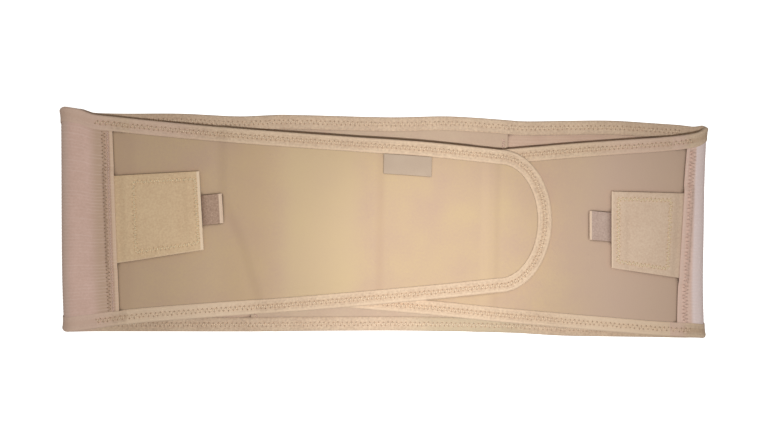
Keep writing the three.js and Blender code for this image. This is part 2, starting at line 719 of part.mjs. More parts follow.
// The belt stands on the ground, centred on its own outline
group.updateMatrixWorld(true);
const bounds = new THREE.Box3().setFromObject(group, true);
const centre = bounds.getCenter(new THREE.Vector3());
group.position.set(-centre.x, -centre.y, -bounds.min.z);

export default group;
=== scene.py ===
"""Maternity support belt, closed and laid flat with its front up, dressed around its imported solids."""

import math
from functools import partial

import bpy
import numpy as np
from mathutils import Matrix, Vector


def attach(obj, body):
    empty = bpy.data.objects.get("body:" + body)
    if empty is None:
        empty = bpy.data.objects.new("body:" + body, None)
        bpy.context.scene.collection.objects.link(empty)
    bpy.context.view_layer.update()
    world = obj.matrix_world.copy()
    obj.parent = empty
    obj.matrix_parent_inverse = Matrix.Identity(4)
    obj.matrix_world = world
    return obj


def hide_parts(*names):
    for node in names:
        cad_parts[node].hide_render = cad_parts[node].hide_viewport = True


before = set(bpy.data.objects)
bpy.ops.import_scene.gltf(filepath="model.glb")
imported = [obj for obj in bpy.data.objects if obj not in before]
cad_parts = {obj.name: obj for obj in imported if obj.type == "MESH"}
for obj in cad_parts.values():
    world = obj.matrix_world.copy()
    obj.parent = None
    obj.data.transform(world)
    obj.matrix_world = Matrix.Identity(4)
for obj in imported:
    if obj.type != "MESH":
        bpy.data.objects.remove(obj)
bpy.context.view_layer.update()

# Back panel. It is one piece of foam laminate with a brushed knit on both faces. The edge tape and
# the two elastic bands are sewn over it, and the seams press it flat there. Its upper strip shows
# past the front flaps. All lengths are in millimetres, as in the solids.
MM = 0.001
ORIGIN = np.array([0.59, -1.79, 0.0])
HALF_WIDTH = 232.5
HALF_HEIGHT = 78
CLEARANCE = 0.3
RIM = 0.8
RIM_STEPS = np.array([0, 0.08, 0.3, 0.6])
RIM_LEFT = 0.15
LAMINATE = 2.0
PRESSED = 1.2
ELASTIC = 1.4
TAPE = 0.7
TAPE_WIDTH = 10.4
TAPE_RAMP = 6
PRESS_RAMP = 5
SAG_RUN = 4
BACK_SEAM = {"left": 87, "right": 73.5}
BACK_LAP = 12
BAND_IN = PRESSED / 2 + CLEARANCE
BAND_OUT = BAND_IN + ELASTIC
BOUND_HALF = PRESSED / 2 + CLEARANCE + TAPE
LAP_REST = BAND_OUT + CLEARANCE + TAPE
EDGE_INSET = TAPE + CLEARANCE


def table(names, *rows):
    """Short table whose columns have names."""
    return {name: np.array(column, float) for name, column in zip(names.split(), zip(*rows))}


BACK_EDGES = table(
    "x top bottom",
    (-0.96, 1.042, -0.994),
    (-0.935, 1.038, -0.992),
    (-0.9, 1.006, -0.99),
    (-0.65, 1.017, -0.984),
    (-0.47, 1.005, -0.98),
    (-0.33, 1.028, -0.973),
    (0, 1.028, -0.959),
    (0.18, 1.049, -0.96),
    (0.33, 1.031, -0.964),
    (0.42, 1.019, -0.972),
    (0.55, 1.032, -0.991),
    (0.7, 1.043, -0.995),
    (0.85, 1.026, -0.997),
    (0.91, 1.018, -0.999),
    (0.96, 1.005, -1.0),
)


def mix(start, end, share):
    return start + (end - start) * share


def ease(start, end, value):
    """Smooth rise from 0 at start to 1 at end."""
    share = np.clip((value - start) / (end - start), 0, 1)
    return share * share * (3 - 2 * share)


def follow(rows, key, column, at):
    """Smooth curve through one column of a table, read at a value of its key column."""
    keys, values = rows[key], rows[column]
    last = len(keys) - 1
    before = np.maximum(np.arange(last + 1) - 1, 0)
    after = np.minimum(np.arange(last + 1) + 1, last)
    slopes = (values[after] - values[before]) / (keys[after] - keys[before])
    i = np.clip(np.searchsorted(keys, at, side="right") - 1, 0, last - 1)
    span = keys[i + 1] - keys[i]
    share = np.clip((at - keys[i]) / span, 0, 1)
    rise = values[i + 1] - values[i]
    bend = ((1 - share) * slopes[i] - share * slopes[i + 1]) * span
    return mix(values[i], values[i + 1], share) + share * (1 - share) * (bend - (1 - 2 * share) * rise)


def stations(start, end, step, rim=0):
    """Places from start to end in equal steps, closer together within the rim at both ends."""
    sign = 1 if end > start else -1
    near = rim * RIM_STEPS if rim else np.array([])
    length = abs(end - start) - 2 * rim
    body = np.linspace(start + sign * rim, end - sign * rim, max(1, round(length / step)) + 1)
    return np.concatenate([start + sign * near, body, (end - sign * near)[::-1]])


def back_edge(x, edge):
    return HALF_HEIGHT * follow(BACK_EDGES, "x", edge, x / HALF_WIDTH)


def seam_at(x):
    return np.where(x < 0, BACK_SEAM["left"], BACK_SEAM["right"])


def back_rest(x, y):
    """Height of the back panel's middle surface. It rises where the bands lap it."""
    seam = seam_at(x)
    margin = np.minimum(back_edge(x, "top") - y, y - back_edge(x, "bottom"))
    inner = ease(TAPE_WIDTH + 1, TAPE_WIDTH + PRESS_RAMP + SAG_RUN, margin)
    flat = mix(BOUND_HALF, LAMINATE / 2, inner)
    return mix(flat, LAP_REST, ease(seam - 3 * TAPE_RAMP, seam - TAPE_RAMP, np.abs(x)))


def rim_share(distance, radius):
    """Share of its full thickness that cloth has at a distance from its cut edge."""
    inside = np.clip(distance / radius, 0, 1)
    return mix(RIM_LEFT, 1, np.sqrt(1 - (1 - inside) ** 2))


def spatial(x, y, z):
    return np.stack(np.broadcast_arrays(x, y, z), axis=-1)


def add_object(name, data):
    item = bpy.data.objects.new(name, data)
    bpy.context.scene.collection.objects.link(item)
    return item


def add_mesh(name, points, faces, material, flat_places, sharp=50):
    """Adds a closed mesh. flat_places are its points' places on the flat cloth, kept as a UV map, and
    edges over the sharp angle keep their corner. What would sink into the floor is pressed flat."""
    faces = np.asarray(faces)
    points = np.column_stack([points[:, :2], np.maximum(points[:, 2], 0)])
    corners = points[faces]
    spread = np.cross(corners[:, 1] - corners[:, 0], corners[:, 2] - corners[:, 0])
    spread += np.cross(corners[:, 2] - corners[:, 0], corners[:, 3] - corners[:, 0])
    if np.sum(corners.mean(axis=1) * spread) < 0:
        faces = faces[:, ::-1]
    mesh = bpy.data.meshes.new(name)
    mesh.from_pydata(((points + ORIGIN) * MM).tolist(), [], faces.tolist())
    places = np.asarray(flat_places)[faces.ravel()] * MM
    mesh.uv_layers.new(name="cloth").data.foreach_set("uv", places.astype(np.float32).ravel())
    mesh.polygons.foreach_set("use_smooth", [True] * len(mesh.polygons))
    mesh.set_sharp_from_angle(angle=math.radians(sharp))
    mesh.materials.append(material)
    return add_object(name, mesh)


def grid_faces(count, across, wrap=False):
    """Faces of a grid of points, count by across, whose last row can join its first one."""
    i, j = np.meshgrid(np.arange(count - 1), np.arange(across if wrap else across - 1), indexing="ij")
    after = (j + 1) % across
    corners = [i * across + j, (i + 1) * across + j, (i + 1) * across + after, i * across + after]
    return np.stack(corners, axis=-1).reshape(-1, 4)


def add_cloth(name, material, along, across, place, size=(1, 1), lining=None):
    """Adds cloth with two faces and a closed rim. place(along, across, face) gives its points, size
    is what one unit along and across is on the flat cloth, and lining is its inner face's material."""
    u, v = np.meshgrid(along, across, indexing="ij")
    points = np.concatenate([place(u, v, face).reshape(-1, 3) for face in (1, 0)])
    flat = np.tile(np.stack([u * size[0], v * size[1]], axis=-1).reshape(-1, 2), (2, 1))
    n, m = u.shape
    outer = np.arange(n * m).reshape(n, m)
    inner = outer + n * m
    upper = grid_faces(n, m)
    rims = []
    for line, forward in ((np.s_[0, :], 1), (np.s_[-1, :], 0), (np.s_[:, 0], 0), (np.s_[:, -1], 1)):
        a, b = outer[line], inner[line]
        rim = np.stack([a[:-1], a[1:], b[1:], b[:-1]], axis=-1)
        rims.append(rim if forward else rim[:, ::-1])
    faces = np.concatenate([upper, (upper + n * m)[:, ::-1], *rims])
    piece = add_mesh(name, points, faces, material, flat)
    if lining:
        piece.data.materials.append(lining)
        finish = np.zeros(len(faces), np.int32)
        finish[len(upper) : 2 * len(upper)] = 1
        piece.data.polygons.foreach_set("material_index", finish)
    return piece


def colour(red, green, blue):
    """Linear colour from the 0 to 255 values of a paint chart."""
    channels = [value / 255 for value in (red, green, blue)]
    linear = [c / 12.92 if c <= 0.04045 else ((c + 0.055) / 1.055) ** 2.4 for c in channels]
    return (*linear, 1)


def new_group(name, inputs, outputs):
    """Shader node group with inputs (name: default) and outputs (name: kind)."""
    group = bpy.data.node_groups.new(name, "ShaderNodeTree")
    for label, value in inputs.items():
        kind = "NodeSocketColor" if isinstance(value, tuple) else "NodeSocketFloat"
        group.interface.new_socket(label, in_out="INPUT", socket_type=kind).default_value = value
    for label, kind in outputs.items():
        group.interface.new_socket(label, in_out="OUTPUT", socket_type=kind)
    return group, group.nodes.new("NodeGroupInput").outputs, group.nodes.new("NodeGroupOutput").inputs


def add_node(tree, kind, links=None, **settings):
    """Adds a shader node. links go into its inputs: a socket is linked, and a value is set."""
    node = tree.nodes.new(f"ShaderNode{kind}")
    for name, value in settings.items():
        setattr(node, name, value)
    for name, value in (links or {}).items():
        if isinstance(value, bpy.types.NodeSocket):
            tree.links.new(value, node.inputs[name])
        else:
            node.inputs[name].default_value = value
    return node


def place_group(tree, group, links):
    return add_node(tree, "Group", links, node_tree=group)


def mixed(tree, factor, first, second):
    """Colour socket that goes from the first colour to the second one."""
    return add_node(tree, "Mix", {0: factor, 6: first, 7: second}, data_type="RGBA").outputs[2]


def rising(tree, value, low, high, curve="SMOOTHSTEP"):
    """Number socket that rises from 0 at low to 1 at high."""
    links = {"Value": value, "From Min": low, "From Max": high}
    return add_node(tree, "MapRange", links, interpolation_type=curve).outputs["Result"]


def worked_out(tree, operation, first, second=0.0):
    """Number socket with what an operation makes of one number or two."""
    return add_node(tree, "Math", {0: first, 1: second}, operation=operation).outputs[0]


# Dye that takes up a little unevenly, with faint warm and cool patches and a fine mottle
uneven_dye, dye_in, dye_out = new_group(
    "uneven dye",
    {"Light": (1, 1, 1, 1), "Dark": (0, 0, 0, 1), "Patch": 22.0, "Grain": 900.0, "Mottle": 0.3},
    {"Color": "NodeSocketColor"},
)
places = add_node(uneven_dye, "TexCoord").outputs["Object"]
patches = add_node(uneven_dye, "TexNoise", {"Vector": places, "Scale": dye_in["Patch"], "Detail": 1.0})
grains = add_node(uneven_dye, "TexNoise", {"Vector": places, "Scale": dye_in["Grain"], "Detail": 2.0})
patch_and_grain = add_node(
    uneven_dye, "Mix", {"Factor": dye_in["Mottle"], "A": patches.outputs["Fac"], "B": grains.outputs["Fac"]}
)
contrast = rising(uneven_dye, patch_and_grain.outputs["Result"], 0.3, 0.7, "LINEAR")
uneven_dye.links.new(mixed(uneven_dye, contrast, dye_in["Dark"], dye_in["Light"]), dye_out["Color"])

# Brushed nap: short fibres over small loops
brushed_nap, nap_in, nap_out = new_group(
    "brushed nap", {"Loops": 700.0, "Fibres": 2600.0}, {"Height": "NodeSocketFloat"}
)
places = add_node(brushed_nap, "TexCoord").outputs["Object"]
loops = add_node(brushed_nap, "TexVoronoi", {"Vector": places, "Scale": nap_in["Loops"]})
fibres = add_node(brushed_nap, "TexNoise", {"Vector": places, "Scale": nap_in["Fibres"], "Detail": 3.0})
nap = add_node(
    brushed_nap, "Mix", {"Factor": 0.5, "A": loops.outputs["Distance"], "B": fibres.outputs["Fac"]}
)
brushed_nap.links.new(nap.outputs["Result"], nap_out["Height"])

# Strip of the flat cloth from Start to End, in metres along it or across it, with soft borders
strip_mask, strip_in, strip_out = new_group(
    "strip of cloth",
    {"Start": 0.0, "End": 1.0, "Soft": 0.001, "Share": 1.0},
    {"Along": "NodeSocketFloat", "Across": "NodeSocketFloat"},
)
flat_place = add_node(strip_mask, "UVMap", uv_map="cloth")
flat_axes = add_node(strip_mask, "SeparateXYZ", {"Vector": flat_place.outputs["UV"]})
for axis, output in (("X", "Along"), ("Y", "Across")):
    at = flat_axes.outputs[axis]
    past_start = worked_out(strip_mask, "SUBTRACT", at, strip_in["Start"])
    before_end = worked_out(strip_mask, "SUBTRACT", strip_in["End"], at)
    sides = [rising(strip_mask, depth, 0.0, strip_in["Soft"]) for depth in (past_start, before_end)]
    both = worked_out(strip_mask, "MULTIPLY", *sides)
    shared = worked_out(strip_mask, "MULTIPLY", both, strip_in["Share"])
    strip_mask.links.new(shared, strip_out[output])

# Painted shade in creases and gaps: how far ambient occlusion looks, and the warm tint it darkens towards
CREASE_SHADE_REACH = 0.0035
CREASE_SHADE_WARMTH = (1, 0.85, 0.8)


def fabric(name, light, dark, roughness=0.85, sheen=0.08, crease_shade=0.3, crease_shade_width=0.9, strips=(),
           dye=None, nap=None, depth=0.0002):
    """Cloth material: unevenly dyed, with a nap, strips of other tints and painted shade in its creases,
    where ambient occlusion finds them. Several strips are painted light and shade. A strip is its
    direction, start, end, soft border, tint and share."""
    material = bpy.data.materials.new(name)
    material.use_nodes = True
    tree = material.node_tree
    shader = tree.nodes["Principled BSDF"]
    shader.inputs["Roughness"].default_value = roughness
    shader.inputs["Specular IOR Level"].default_value = 0.25
    shader.inputs["Sheen Weight"].default_value = sheen
    shader.inputs["Sheen Roughness"].default_value = 0.6
    dyeing = place_group(tree, uneven_dye, {"Light": light, "Dark": dark, **(dye or {})})
    shown = dyeing.outputs["Color"]
    for direction, start, end, soft, tint, share in strips:
        strip = {"Start": start * MM, "End": end * MM, "Soft": soft * MM, "Share": share}
        shown = mixed(tree, place_group(tree, strip_mask, strip).outputs[direction], shown, tint)
    if crease_shade is not None:
        # Painted shade: where ambient occlusion finds a crease or gap, the colour darkens towards a warm
        # dark tint
        openness = add_node(tree, "AmbientOcclusion", {"Distance": CREASE_SHADE_REACH}, samples=8)
        lit = rising(tree, openness.outputs["AO"], crease_shade_width / 3, crease_shade_width)
        crease_shade_tint = [channel * crease_shade * warmth for channel, warmth in zip(dark, CREASE_SHADE_WARMTH)]
        shown = mixed(tree, lit, (*crease_shade_tint, 1), shown)
    tree.links.new(shown, shader.inputs["Base Color"])
    napping = place_group(tree, brushed_nap, nap or {})
    bump = add_node(tree, "Bump", {"Height": napping.outputs["Height"], "Distance": depth, "Strength": 0.5})
    tree.links.new(bump.outputs["Normal"], shader.inputs["Normal"])
    return material


PANEL_DYE = {"Patch": 42.0, "Grain": 600.0, "Mottle": 0.4}
back_knit = fabric(
    "back panel knit", colour(216, 193, 167), colour(207, 180, 159), crease_shade=0.5, dye=PANEL_DYE,
)


def back_panel_point(x, share, face):
    low, high = back_edge(x, "bottom"), back_edge(x, "top")
    y = mix(low + EDGE_INSET, high - EDGE_INSET, share)
    margin = np.minimum(high - y, y - low)
    seam = seam_at(x)
    open_share = ease(seam - 1, seam - TAPE_RAMP, np.abs(x))
    full = np.minimum(open_share, ease(TAPE_WIDTH + 1, TAPE_WIDTH + PRESS_RAMP, margin))
    thickness = mix(PRESSED, LAMINATE, full) * rim_share(seam + BACK_LAP - np.abs(x), RIM)
    return spatial(x, y, back_rest(x, y) + (face - 0.5) * thickness)


back_panel = add_cloth(
    "back_panel_cloth",
    back_knit,
    stations(-BACK_SEAM["left"] - BACK_LAP, BACK_SEAM["right"] + BACK_LAP, step=2.5, rim=RIM),
    stations(0, 1, step=0.02),
    back_panel_point,
)
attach(back_panel, "root")
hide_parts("back_panel")

# Front flaps. Both are foam laminate with one round end. The left one closes over the right one,
# whose round end prints through it as a low step. The seams press both flat at their edges.
SIGN = {"left": -1, "right": 1}
WAIST_HEIGHT = 11.0
FOLD_DEPTH = 8.5
BAND_FRONT = {"left": 38.7, "right": 20.1}
HEM = {side: HALF_WIDTH - BAND_FRONT[side] for side in SIGN}
HEM_SLANT = 0.045
FRONT_LAP = 5.5
FLAP_END = {"left": 78, "right": -55}
FLAP_END_DEPTH = 38
FLAP_SAG = 1.0
SAG_START = 20
SAG_END = 70
DRAPE_RUN = 10
DRAPE_CREST = 0.5
DRAPE_CREST_RUN = 6
STEP_RUN = 8
MIDDLE_STEP = 0.5
HOOK_STEP = 0.5
FRONT_REST = LAP_REST + WAIST_HEIGHT
LOWER_FLAP_REST = FRONT_REST - FLAP_SAG
UPPER_FLAP_REST = LOWER_FLAP_REST + 2 * BOUND_HALF + 1.5 * CLEARANCE
FOLD_X = HALF_WIDTH - FOLD_DEPTH - LAP_REST
FLAP_EDGES = {
    "left": table(
        "x top bottom",
        (-0.96, 1.036, -0.972),
        (-0.935, 1.024, -0.961),
        (-0.9, 0.985, -0.947),
        (-0.85, 0.968, -0.926),
        (-0.74, 0.94, -0.887),
        (-0.53, 0.894, -0.832),
        (-0.33, 0.86, -0.782),
        (-0.1, 0.826, -0.718),
        (0.08, 0.801, -0.663),
        (0.19, 0.777, -0.628),
        (0.34, 0.738, -0.575),
    ),
    "right": table(
        "x top bottom",
        (-0.27, 0.59, -0.705),
        (-0.15, 0.618, -0.731),
        (0.03, 0.665, -0.772),
        (0.15, 0.696, -0.8),
        (0.33, 0.741, -0.85),
        (0.57, 0.815, -0.906),
        (0.71, 0.853, -0.936),
        (0.85, 0.89, -0.965),
        (0.92, 0.916, -0.973),
        (0.96, 0.94, -0.978),
    ),
}
FOLD_LEAN = table(
    "y left right",
    (-1, -0.17, 0.2),
    (-0.5, 0.05, -0.02),
    (0, 0.16, -0.05),
    (0.5, 0.24, -0.07),
    (1, 0.33, 0.03),
)
TIP_LINE = table(
    "y x", (-0.85, -0.385), (-0.65, -0.402), (-0.4, -0.43), (-0.17, -0.453), (0.14, -0.497), (0.3, -0.515),
    (0.95, -0.52),
)
MIDDLE_LINE = table("y x", (-0.6, -0.036), (0.7, -0.088))
HOOK_LINE = table("y x", (-0.44, 0.3), (0.62, 0.262))
panel_knit = fabric(
    "panel knit", colour(216, 189, 151), colour(208, 178, 154), dye=PANEL_DYE, strips=[
        # Painted shade beside the low step at MIDDLE_LINE
        ("Along", -13, -3, 5, colour(200, 168, 140), 0.35),
        # Painted highlight and painted shade on the two sides of the hook patch's step at HOOK_LINE
        ("Along", 62, 72, 4, colour(222, 194, 160), 0.3),
        ("Along", 72, 80, 4, colour(198, 169, 140), 0.3),
        # Painted shade where the upper flap climbs over the lower flap's round end
        ("Along", -132, -72, 26, colour(200, 170, 136), 0.4),
        ("Along", 105, 400, 60, colour(214, 186, 167), 0.8),
        # Painted shade on the flap beside the left band's hem
        ("Along", -200, -178, 8, colour(202, 172, 146), 0.5),
        ("Along", -85, -15, 18, colour(217, 192, 153), 0.7),
    ],
)


def flap_end(side):
    """Middle and half height of a flap's round end."""
    at = FLAP_END[side] / HALF_WIDTH
    top = HALF_HEIGHT * follow(FLAP_EDGES[side], "x", "top", at)
    bottom = HALF_HEIGHT * follow(FLAP_EDGES[side], "x", "bottom", at)
    return (top + bottom) / 2, (top - bottom) / 2


def flap_edge(side, x, edge, inset=0):
    inward = -1 if edge == "top" else 1
    past = -SIGN[side] * (x - FLAP_END[side])
    straight = HALF_HEIGHT * follow(FLAP_EDGES[side], "x", edge, x / HALF_WIDTH) + inward * inset
    middle, half = flap_end(side)
    share = np.clip(past / (FLAP_END_DEPTH - inset), 0, 1)
    round_end = middle - inward * (half - inset) * np.sqrt(1 - share**2)
    return np.where(past <= 0, straight, round_end)


def flap_margin(side, x, y):
    """Distance from a flap's outline, measured inward."""
    past = -SIGN[side] * (x - FLAP_END[side])
    straight = np.minimum(flap_edge(side, x, "top") - y, y - flap_edge(side, x, "bottom"))
    middle, half = flap_end(side)
    round_end = (1 - np.hypot(past / FLAP_END_DEPTH, (y - middle) / half)) * FLAP_END_DEPTH
    return np.where(past <= 0, straight, round_end)


def beyond(line, x, y):
    """Share of a step that lies past a line on the upper flap."""
    start = HALF_WIDTH * follow(line, "y", "x", y / HALF_HEIGHT)
    return ease(start, start + STEP_RUN, x)


def flap_rest(side, x, y):
    """Height of a flap's middle surface. The upper flap climbs onto the lower one's round end."""
    if side == "right":
        return mix(FRONT_REST, LOWER_FLAP_REST, ease(HEM["right"] - SAG_START, HEM["right"] - SAG_END, x))
    steps = MIDDLE_STEP * beyond(MIDDLE_LINE, x, y) + HOOK_STEP * beyond(HOOK_LINE, x, y)
    past_tip = x - HALF_WIDTH * follow(TIP_LINE, "y", "x", y / HALF_HEIGHT)
    climb = ease(-DRAPE_RUN / 2, DRAPE_RUN / 2, past_tip)
    crest = DRAPE_CREST * np.exp(-(((past_tip + DRAPE_RUN) / DRAPE_CREST_RUN) ** 2))
    return mix(FRONT_REST, UPPER_FLAP_REST, climb) + crest + steps


def lean(points):
    """Shifts points outward with the small lean of the folds."""
    x, y = points[..., 0], points[..., 1]
    reach = ease(HEM["left"] - 2 * TAPE_RAMP, FOLD_X, np.abs(x))
    level = np.clip(y / HALF_HEIGHT, -1, 1)
    left, right = (follow(FOLD_LEAN, "y", side, level) for side in SIGN)
    moved = points.copy()
    moved[..., 0] += np.where(x < 0, -left, right) * FOLD_DEPTH * reach
    return moved


def front_flap(side):
    sign = SIGN[side]
    depth = FLAP_END_DEPTH - EDGE_INSET
    body = stations(sign * (HEM[side] + FRONT_LAP), FLAP_END[side], step=2.2)
    turn = np.radians([6, 14, 22, 30, 38, 46, 54, 62, 69, 76, 82, 86])
    along = np.concatenate([body, FLAP_END[side] - sign * depth * np.sin(turn)])

    def point(x, share, face):
        low = flap_edge(side, x, "bottom", EDGE_INSET)
        high = flap_edge(side, x, "top", EDGE_INSET)
        y = mix(low, high, share)
        from_hem = HEM[side] + HEM_SLANT * y - sign * x
        clear_of_hem = ease(1, PRESS_RAMP, from_hem)
        clear_of_tape = ease(TAPE_WIDTH + 0.6, TAPE_WIDTH + PRESS_RAMP, flap_margin(side, x, y))
        thickness = mix(PRESSED, LAMINATE, np.minimum(clear_of_hem, clear_of_tape))
        return lean(spatial(x, y, flap_rest(side, x, y) + (face - 0.5) * thickness))

    piece = add_cloth(f"{side}_flap_cloth", panel_knit, along, stations(0, 1, step=1 / 64), point)
    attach(piece, "root")
    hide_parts(f"{side}_front_flap")
    return piece


left_flap = front_flap("left")
right_flap = front_flap("right")

# Side bands. Each is ribbed elastic from a seam on the back panel, round the side fold, to a hem
# that is zigzag stitched onto the front flap and its pull tab.
FOLD_RISE = WAIST_HEIGHT / 2
FOLD_LENGTH = math.pi * math.sqrt((FOLD_DEPTH**2 + FOLD_RISE**2) / 2)
CORNER_DRAW = {"left": {"top": 0.15, "bottom": 0.08}, "right": {"top": 0.38, "bottom": 0.05}}
CORNER_RADIUS = {"left": {"top": 2.5, "bottom": 2.0}, "right": {"top": 1.6, "bottom": 2.0}}
CORNER_SWELL = {"left": 0.7, "right": 2.0}
CORNER_CUT = 0.7
TAB = {
    "left": {"length": 60, "wide": 61.5, "narrow": 55.5, "middle": 3.2, "slope": 0.122, "slant": 0.072},
    "right": {"length": 52.5, "wide": 61.8, "narrow": 55.6, "middle": -2, "slope": 0.067, "slant": -0.02},
}
TAB_CLOTH = 1.5
TAB_TUCK = 4.5
TAB_LIFT = TAB_CLOTH + CLEARANCE
RIB_COUNT = 65
RIB_PITCH = 2.4
RIB_DEPTH = 0.16
HEM_ROLL = 3.4
HEM_GROOVE = 0.45
HEM_RIM = 0.9


def back_t(x):
    return np.abs(x) - FOLD_X


def front_t(x):
    return FOLD_LENGTH + FOLD_X - np.abs(x)


def hem_x(side, y):
    return SIGN[side] * (HEM[side] + HEM_SLANT * y)


def flat_x(side, t):
    """Places on the back and on the front that t stands for, both at the fold's start within it."""
    sign = SIGN[side]
    return sign * (FOLD_X + np.minimum(t, 0)), sign * (FOLD_X - np.maximum(t - FOLD_LENGTH, 0))


def on_half(side, t, y, offset):
    """Point of a belt half at t and y, at an offset outward from the middle surface. t is negative
    on the back, 0 to FOLD_LENGTH round the fold and more on the front."""
    sign = SIGN[side]
    back_x, front_x = flat_x(side, t)
    angle = np.pi * np.clip(t / FOLD_LENGTH, 0, 1)
    outward, upward = FOLD_RISE * np.sin(angle), -FOLD_DEPTH * np.cos(angle)
    reach = offset / np.hypot(outward, upward)
    fold_x = sign * (FOLD_X + FOLD_DEPTH * np.sin(angle) + outward * reach)
    fold_z = LAP_REST + FOLD_RISE * (1 - np.cos(angle)) + upward * reach
    back_z = back_rest(back_x, y) - offset
    front_z = flap_rest(side, front_x, y) + offset
    on_back, on_front = t <= 0, t >= FOLD_LENGTH
    x = np.where(on_back, back_x, np.where(on_front, front_x, fold_x))
    z = np.where(on_back, back_z, np.where(on_front, front_z, fold_z))
    return spatial(x, y, z)


def half_edge(side, t, edge):
    """Top or bottom outline of a belt half at t."""
    back_x, front_x = flat_x(side, t)
    share = np.clip(t / FOLD_LENGTH, 0, 1)
    out = np.sin(np.pi * share)
    radius = CORNER_RADIUS[side][edge]
    inside = np.clip(1 - FOLD_DEPTH * (1 - out) / radius, 0, 1)
    rounding = radius * (1 - np.sqrt(1 - inside**2))
    draw = CORNER_DRAW[side][edge] * FOLD_DEPTH * np.maximum(out, 0) ** CORNER_SWELL[side]
    draw = draw - np.minimum(rounding, CORNER_CUT * radius)
    outline = mix(back_edge(back_x, edge), flap_edge(side, front_x, edge), share)
    return outline + (draw if edge == "top" else -draw)


# Ribs of elastic: a painted highlight on the crest of each rib, which fades in and out along it
elastic_ribs, ribs_in, ribs_out = new_group(
    "elastic ribs", {"Pitch": 0.0024, "Share": 0.5}, {"Crest": "NodeSocketFloat"}
)
flat_place = add_node(elastic_ribs, "UVMap", uv_map="cloth").outputs["UV"]
flat_axes = add_node(elastic_ribs, "SeparateXYZ", {"Vector": flat_place})
turns = worked_out(elastic_ribs, "DIVIDE", flat_axes.outputs["Y"], ribs_in["Pitch"])
wave = worked_out(elastic_ribs, "COSINE", worked_out(elastic_ribs, "MULTIPLY", turns, 2 * math.pi))
crest = rising(elastic_ribs, wave, 0.1, 1.0)
stretched = add_node(elastic_ribs, "Mapping", {"Vector": flat_place, "Scale": (60, 420, 1)})
fading = add_node(elastic_ribs, "TexNoise", {"Vector": stretched.outputs["Vector"], "Scale": 1.0})
faded = rising(elastic_ribs, fading.outputs["Fac"], 0.35, 0.65, "LINEAR")
shown_crest = worked_out(elastic_ribs, "MULTIPLY", crest, faded)
shared_crest = worked_out(elastic_ribs, "MULTIPLY", shown_crest, ribs_in["Share"])
elastic_ribs.links.new(shared_crest, ribs_out["Crest"])


def add_ribs(material, tint, share):
    """Paints a highlight on the crest of each rib, under the painted shade of the creases."""
    tree = material.node_tree
    base = tree.nodes["Principled BSDF"].inputs["Base Color"].links[0].from_node.inputs[7]
    before = base.links[0].from_socket
    ribs = place_group(tree, elastic_ribs, {"Pitch": RIB_PITCH * MM, "Share": share})
    tree.links.new(mixed(tree, ribs.outputs["Crest"], before, tint), base)


HEM_START = {side: FOLD_LENGTH + FOLD_X - HEM[side] for side in SIGN}
band_elastics = {}
BAND_STRIPS = {
    "left": [
        (HEM_START["left"] - 19, HEM_START["left"] + 5, 9, colour(213, 183, 159), 0.9),
        # Painted highlight on the rolled edge of the left hem
        (HEM_START["left"] - 2.6, HEM_START["left"] + 5, 0.7, colour(240, 210, 182), 0.9),
        # Painted light on the left side fold
        (FOLD_LENGTH * 0.45, FOLD_LENGTH * 0.88, 3, colour(232, 204, 188), 0.7),
    ],
    "right": [
        # Painted light and sheen on the right side fold
        (FOLD_LENGTH * 0.56, FOLD_LENGTH * 1.05, 2.5, colour(255, 236, 233), 1.0),
        (HEM_START["right"] - 10, HEM_START["right"] + 5, 3, colour(244, 213, 197), 0.9),
    ],
}
for side in SIGN:
    band_elastics[side] = fabric(
        f"{side} ribbed elastic", colour(243, 208, 194), colour(229, 194, 178), roughness=0.95,
        sheen=0.05, crease_shade=0.5, crease_shade_width=0.6, dye={"Patch": 60.0, "Grain": 700.0, "Mottle": 0.6},
        strips=[("Along", *strip) for strip in BAND_STRIPS[side]],
    )
    # Painted highlight on the crests of the ribs
    add_ribs(band_elastics[side], colour(255, 230, 220), 0.3)
band_lining = fabric(
    "elastic lining", colour(222, 194, 170), colour(212, 180, 160), roughness=0.9,
    dye={"Patch": 50.0, "Grain": 1000.0, "Mottle": 0.5},
)
# Painted highlight on the crests of the lining's ribs
add_ribs(band_lining, colour(236, 208, 190), 0.4)


def hem_lift(side, y, t, hem):
    """Height by which a band's hem is lifted where its pull tab is tucked under it."""
    tab = TAB[side]
    low = tab["middle"] - tab["wide"] / 2 - 1
    high = tab["middle"] + tab["wide"] / 2 + 1
    tuck = TAB_TUCK + 1
    over_tab = ease(low - TAPE_RAMP, low, y) * ease(high + TAPE_RAMP, high, y)
    return TAB_LIFT * over_tab * ease(hem - tuck - TAPE_RAMP / 2, hem - tuck, t)


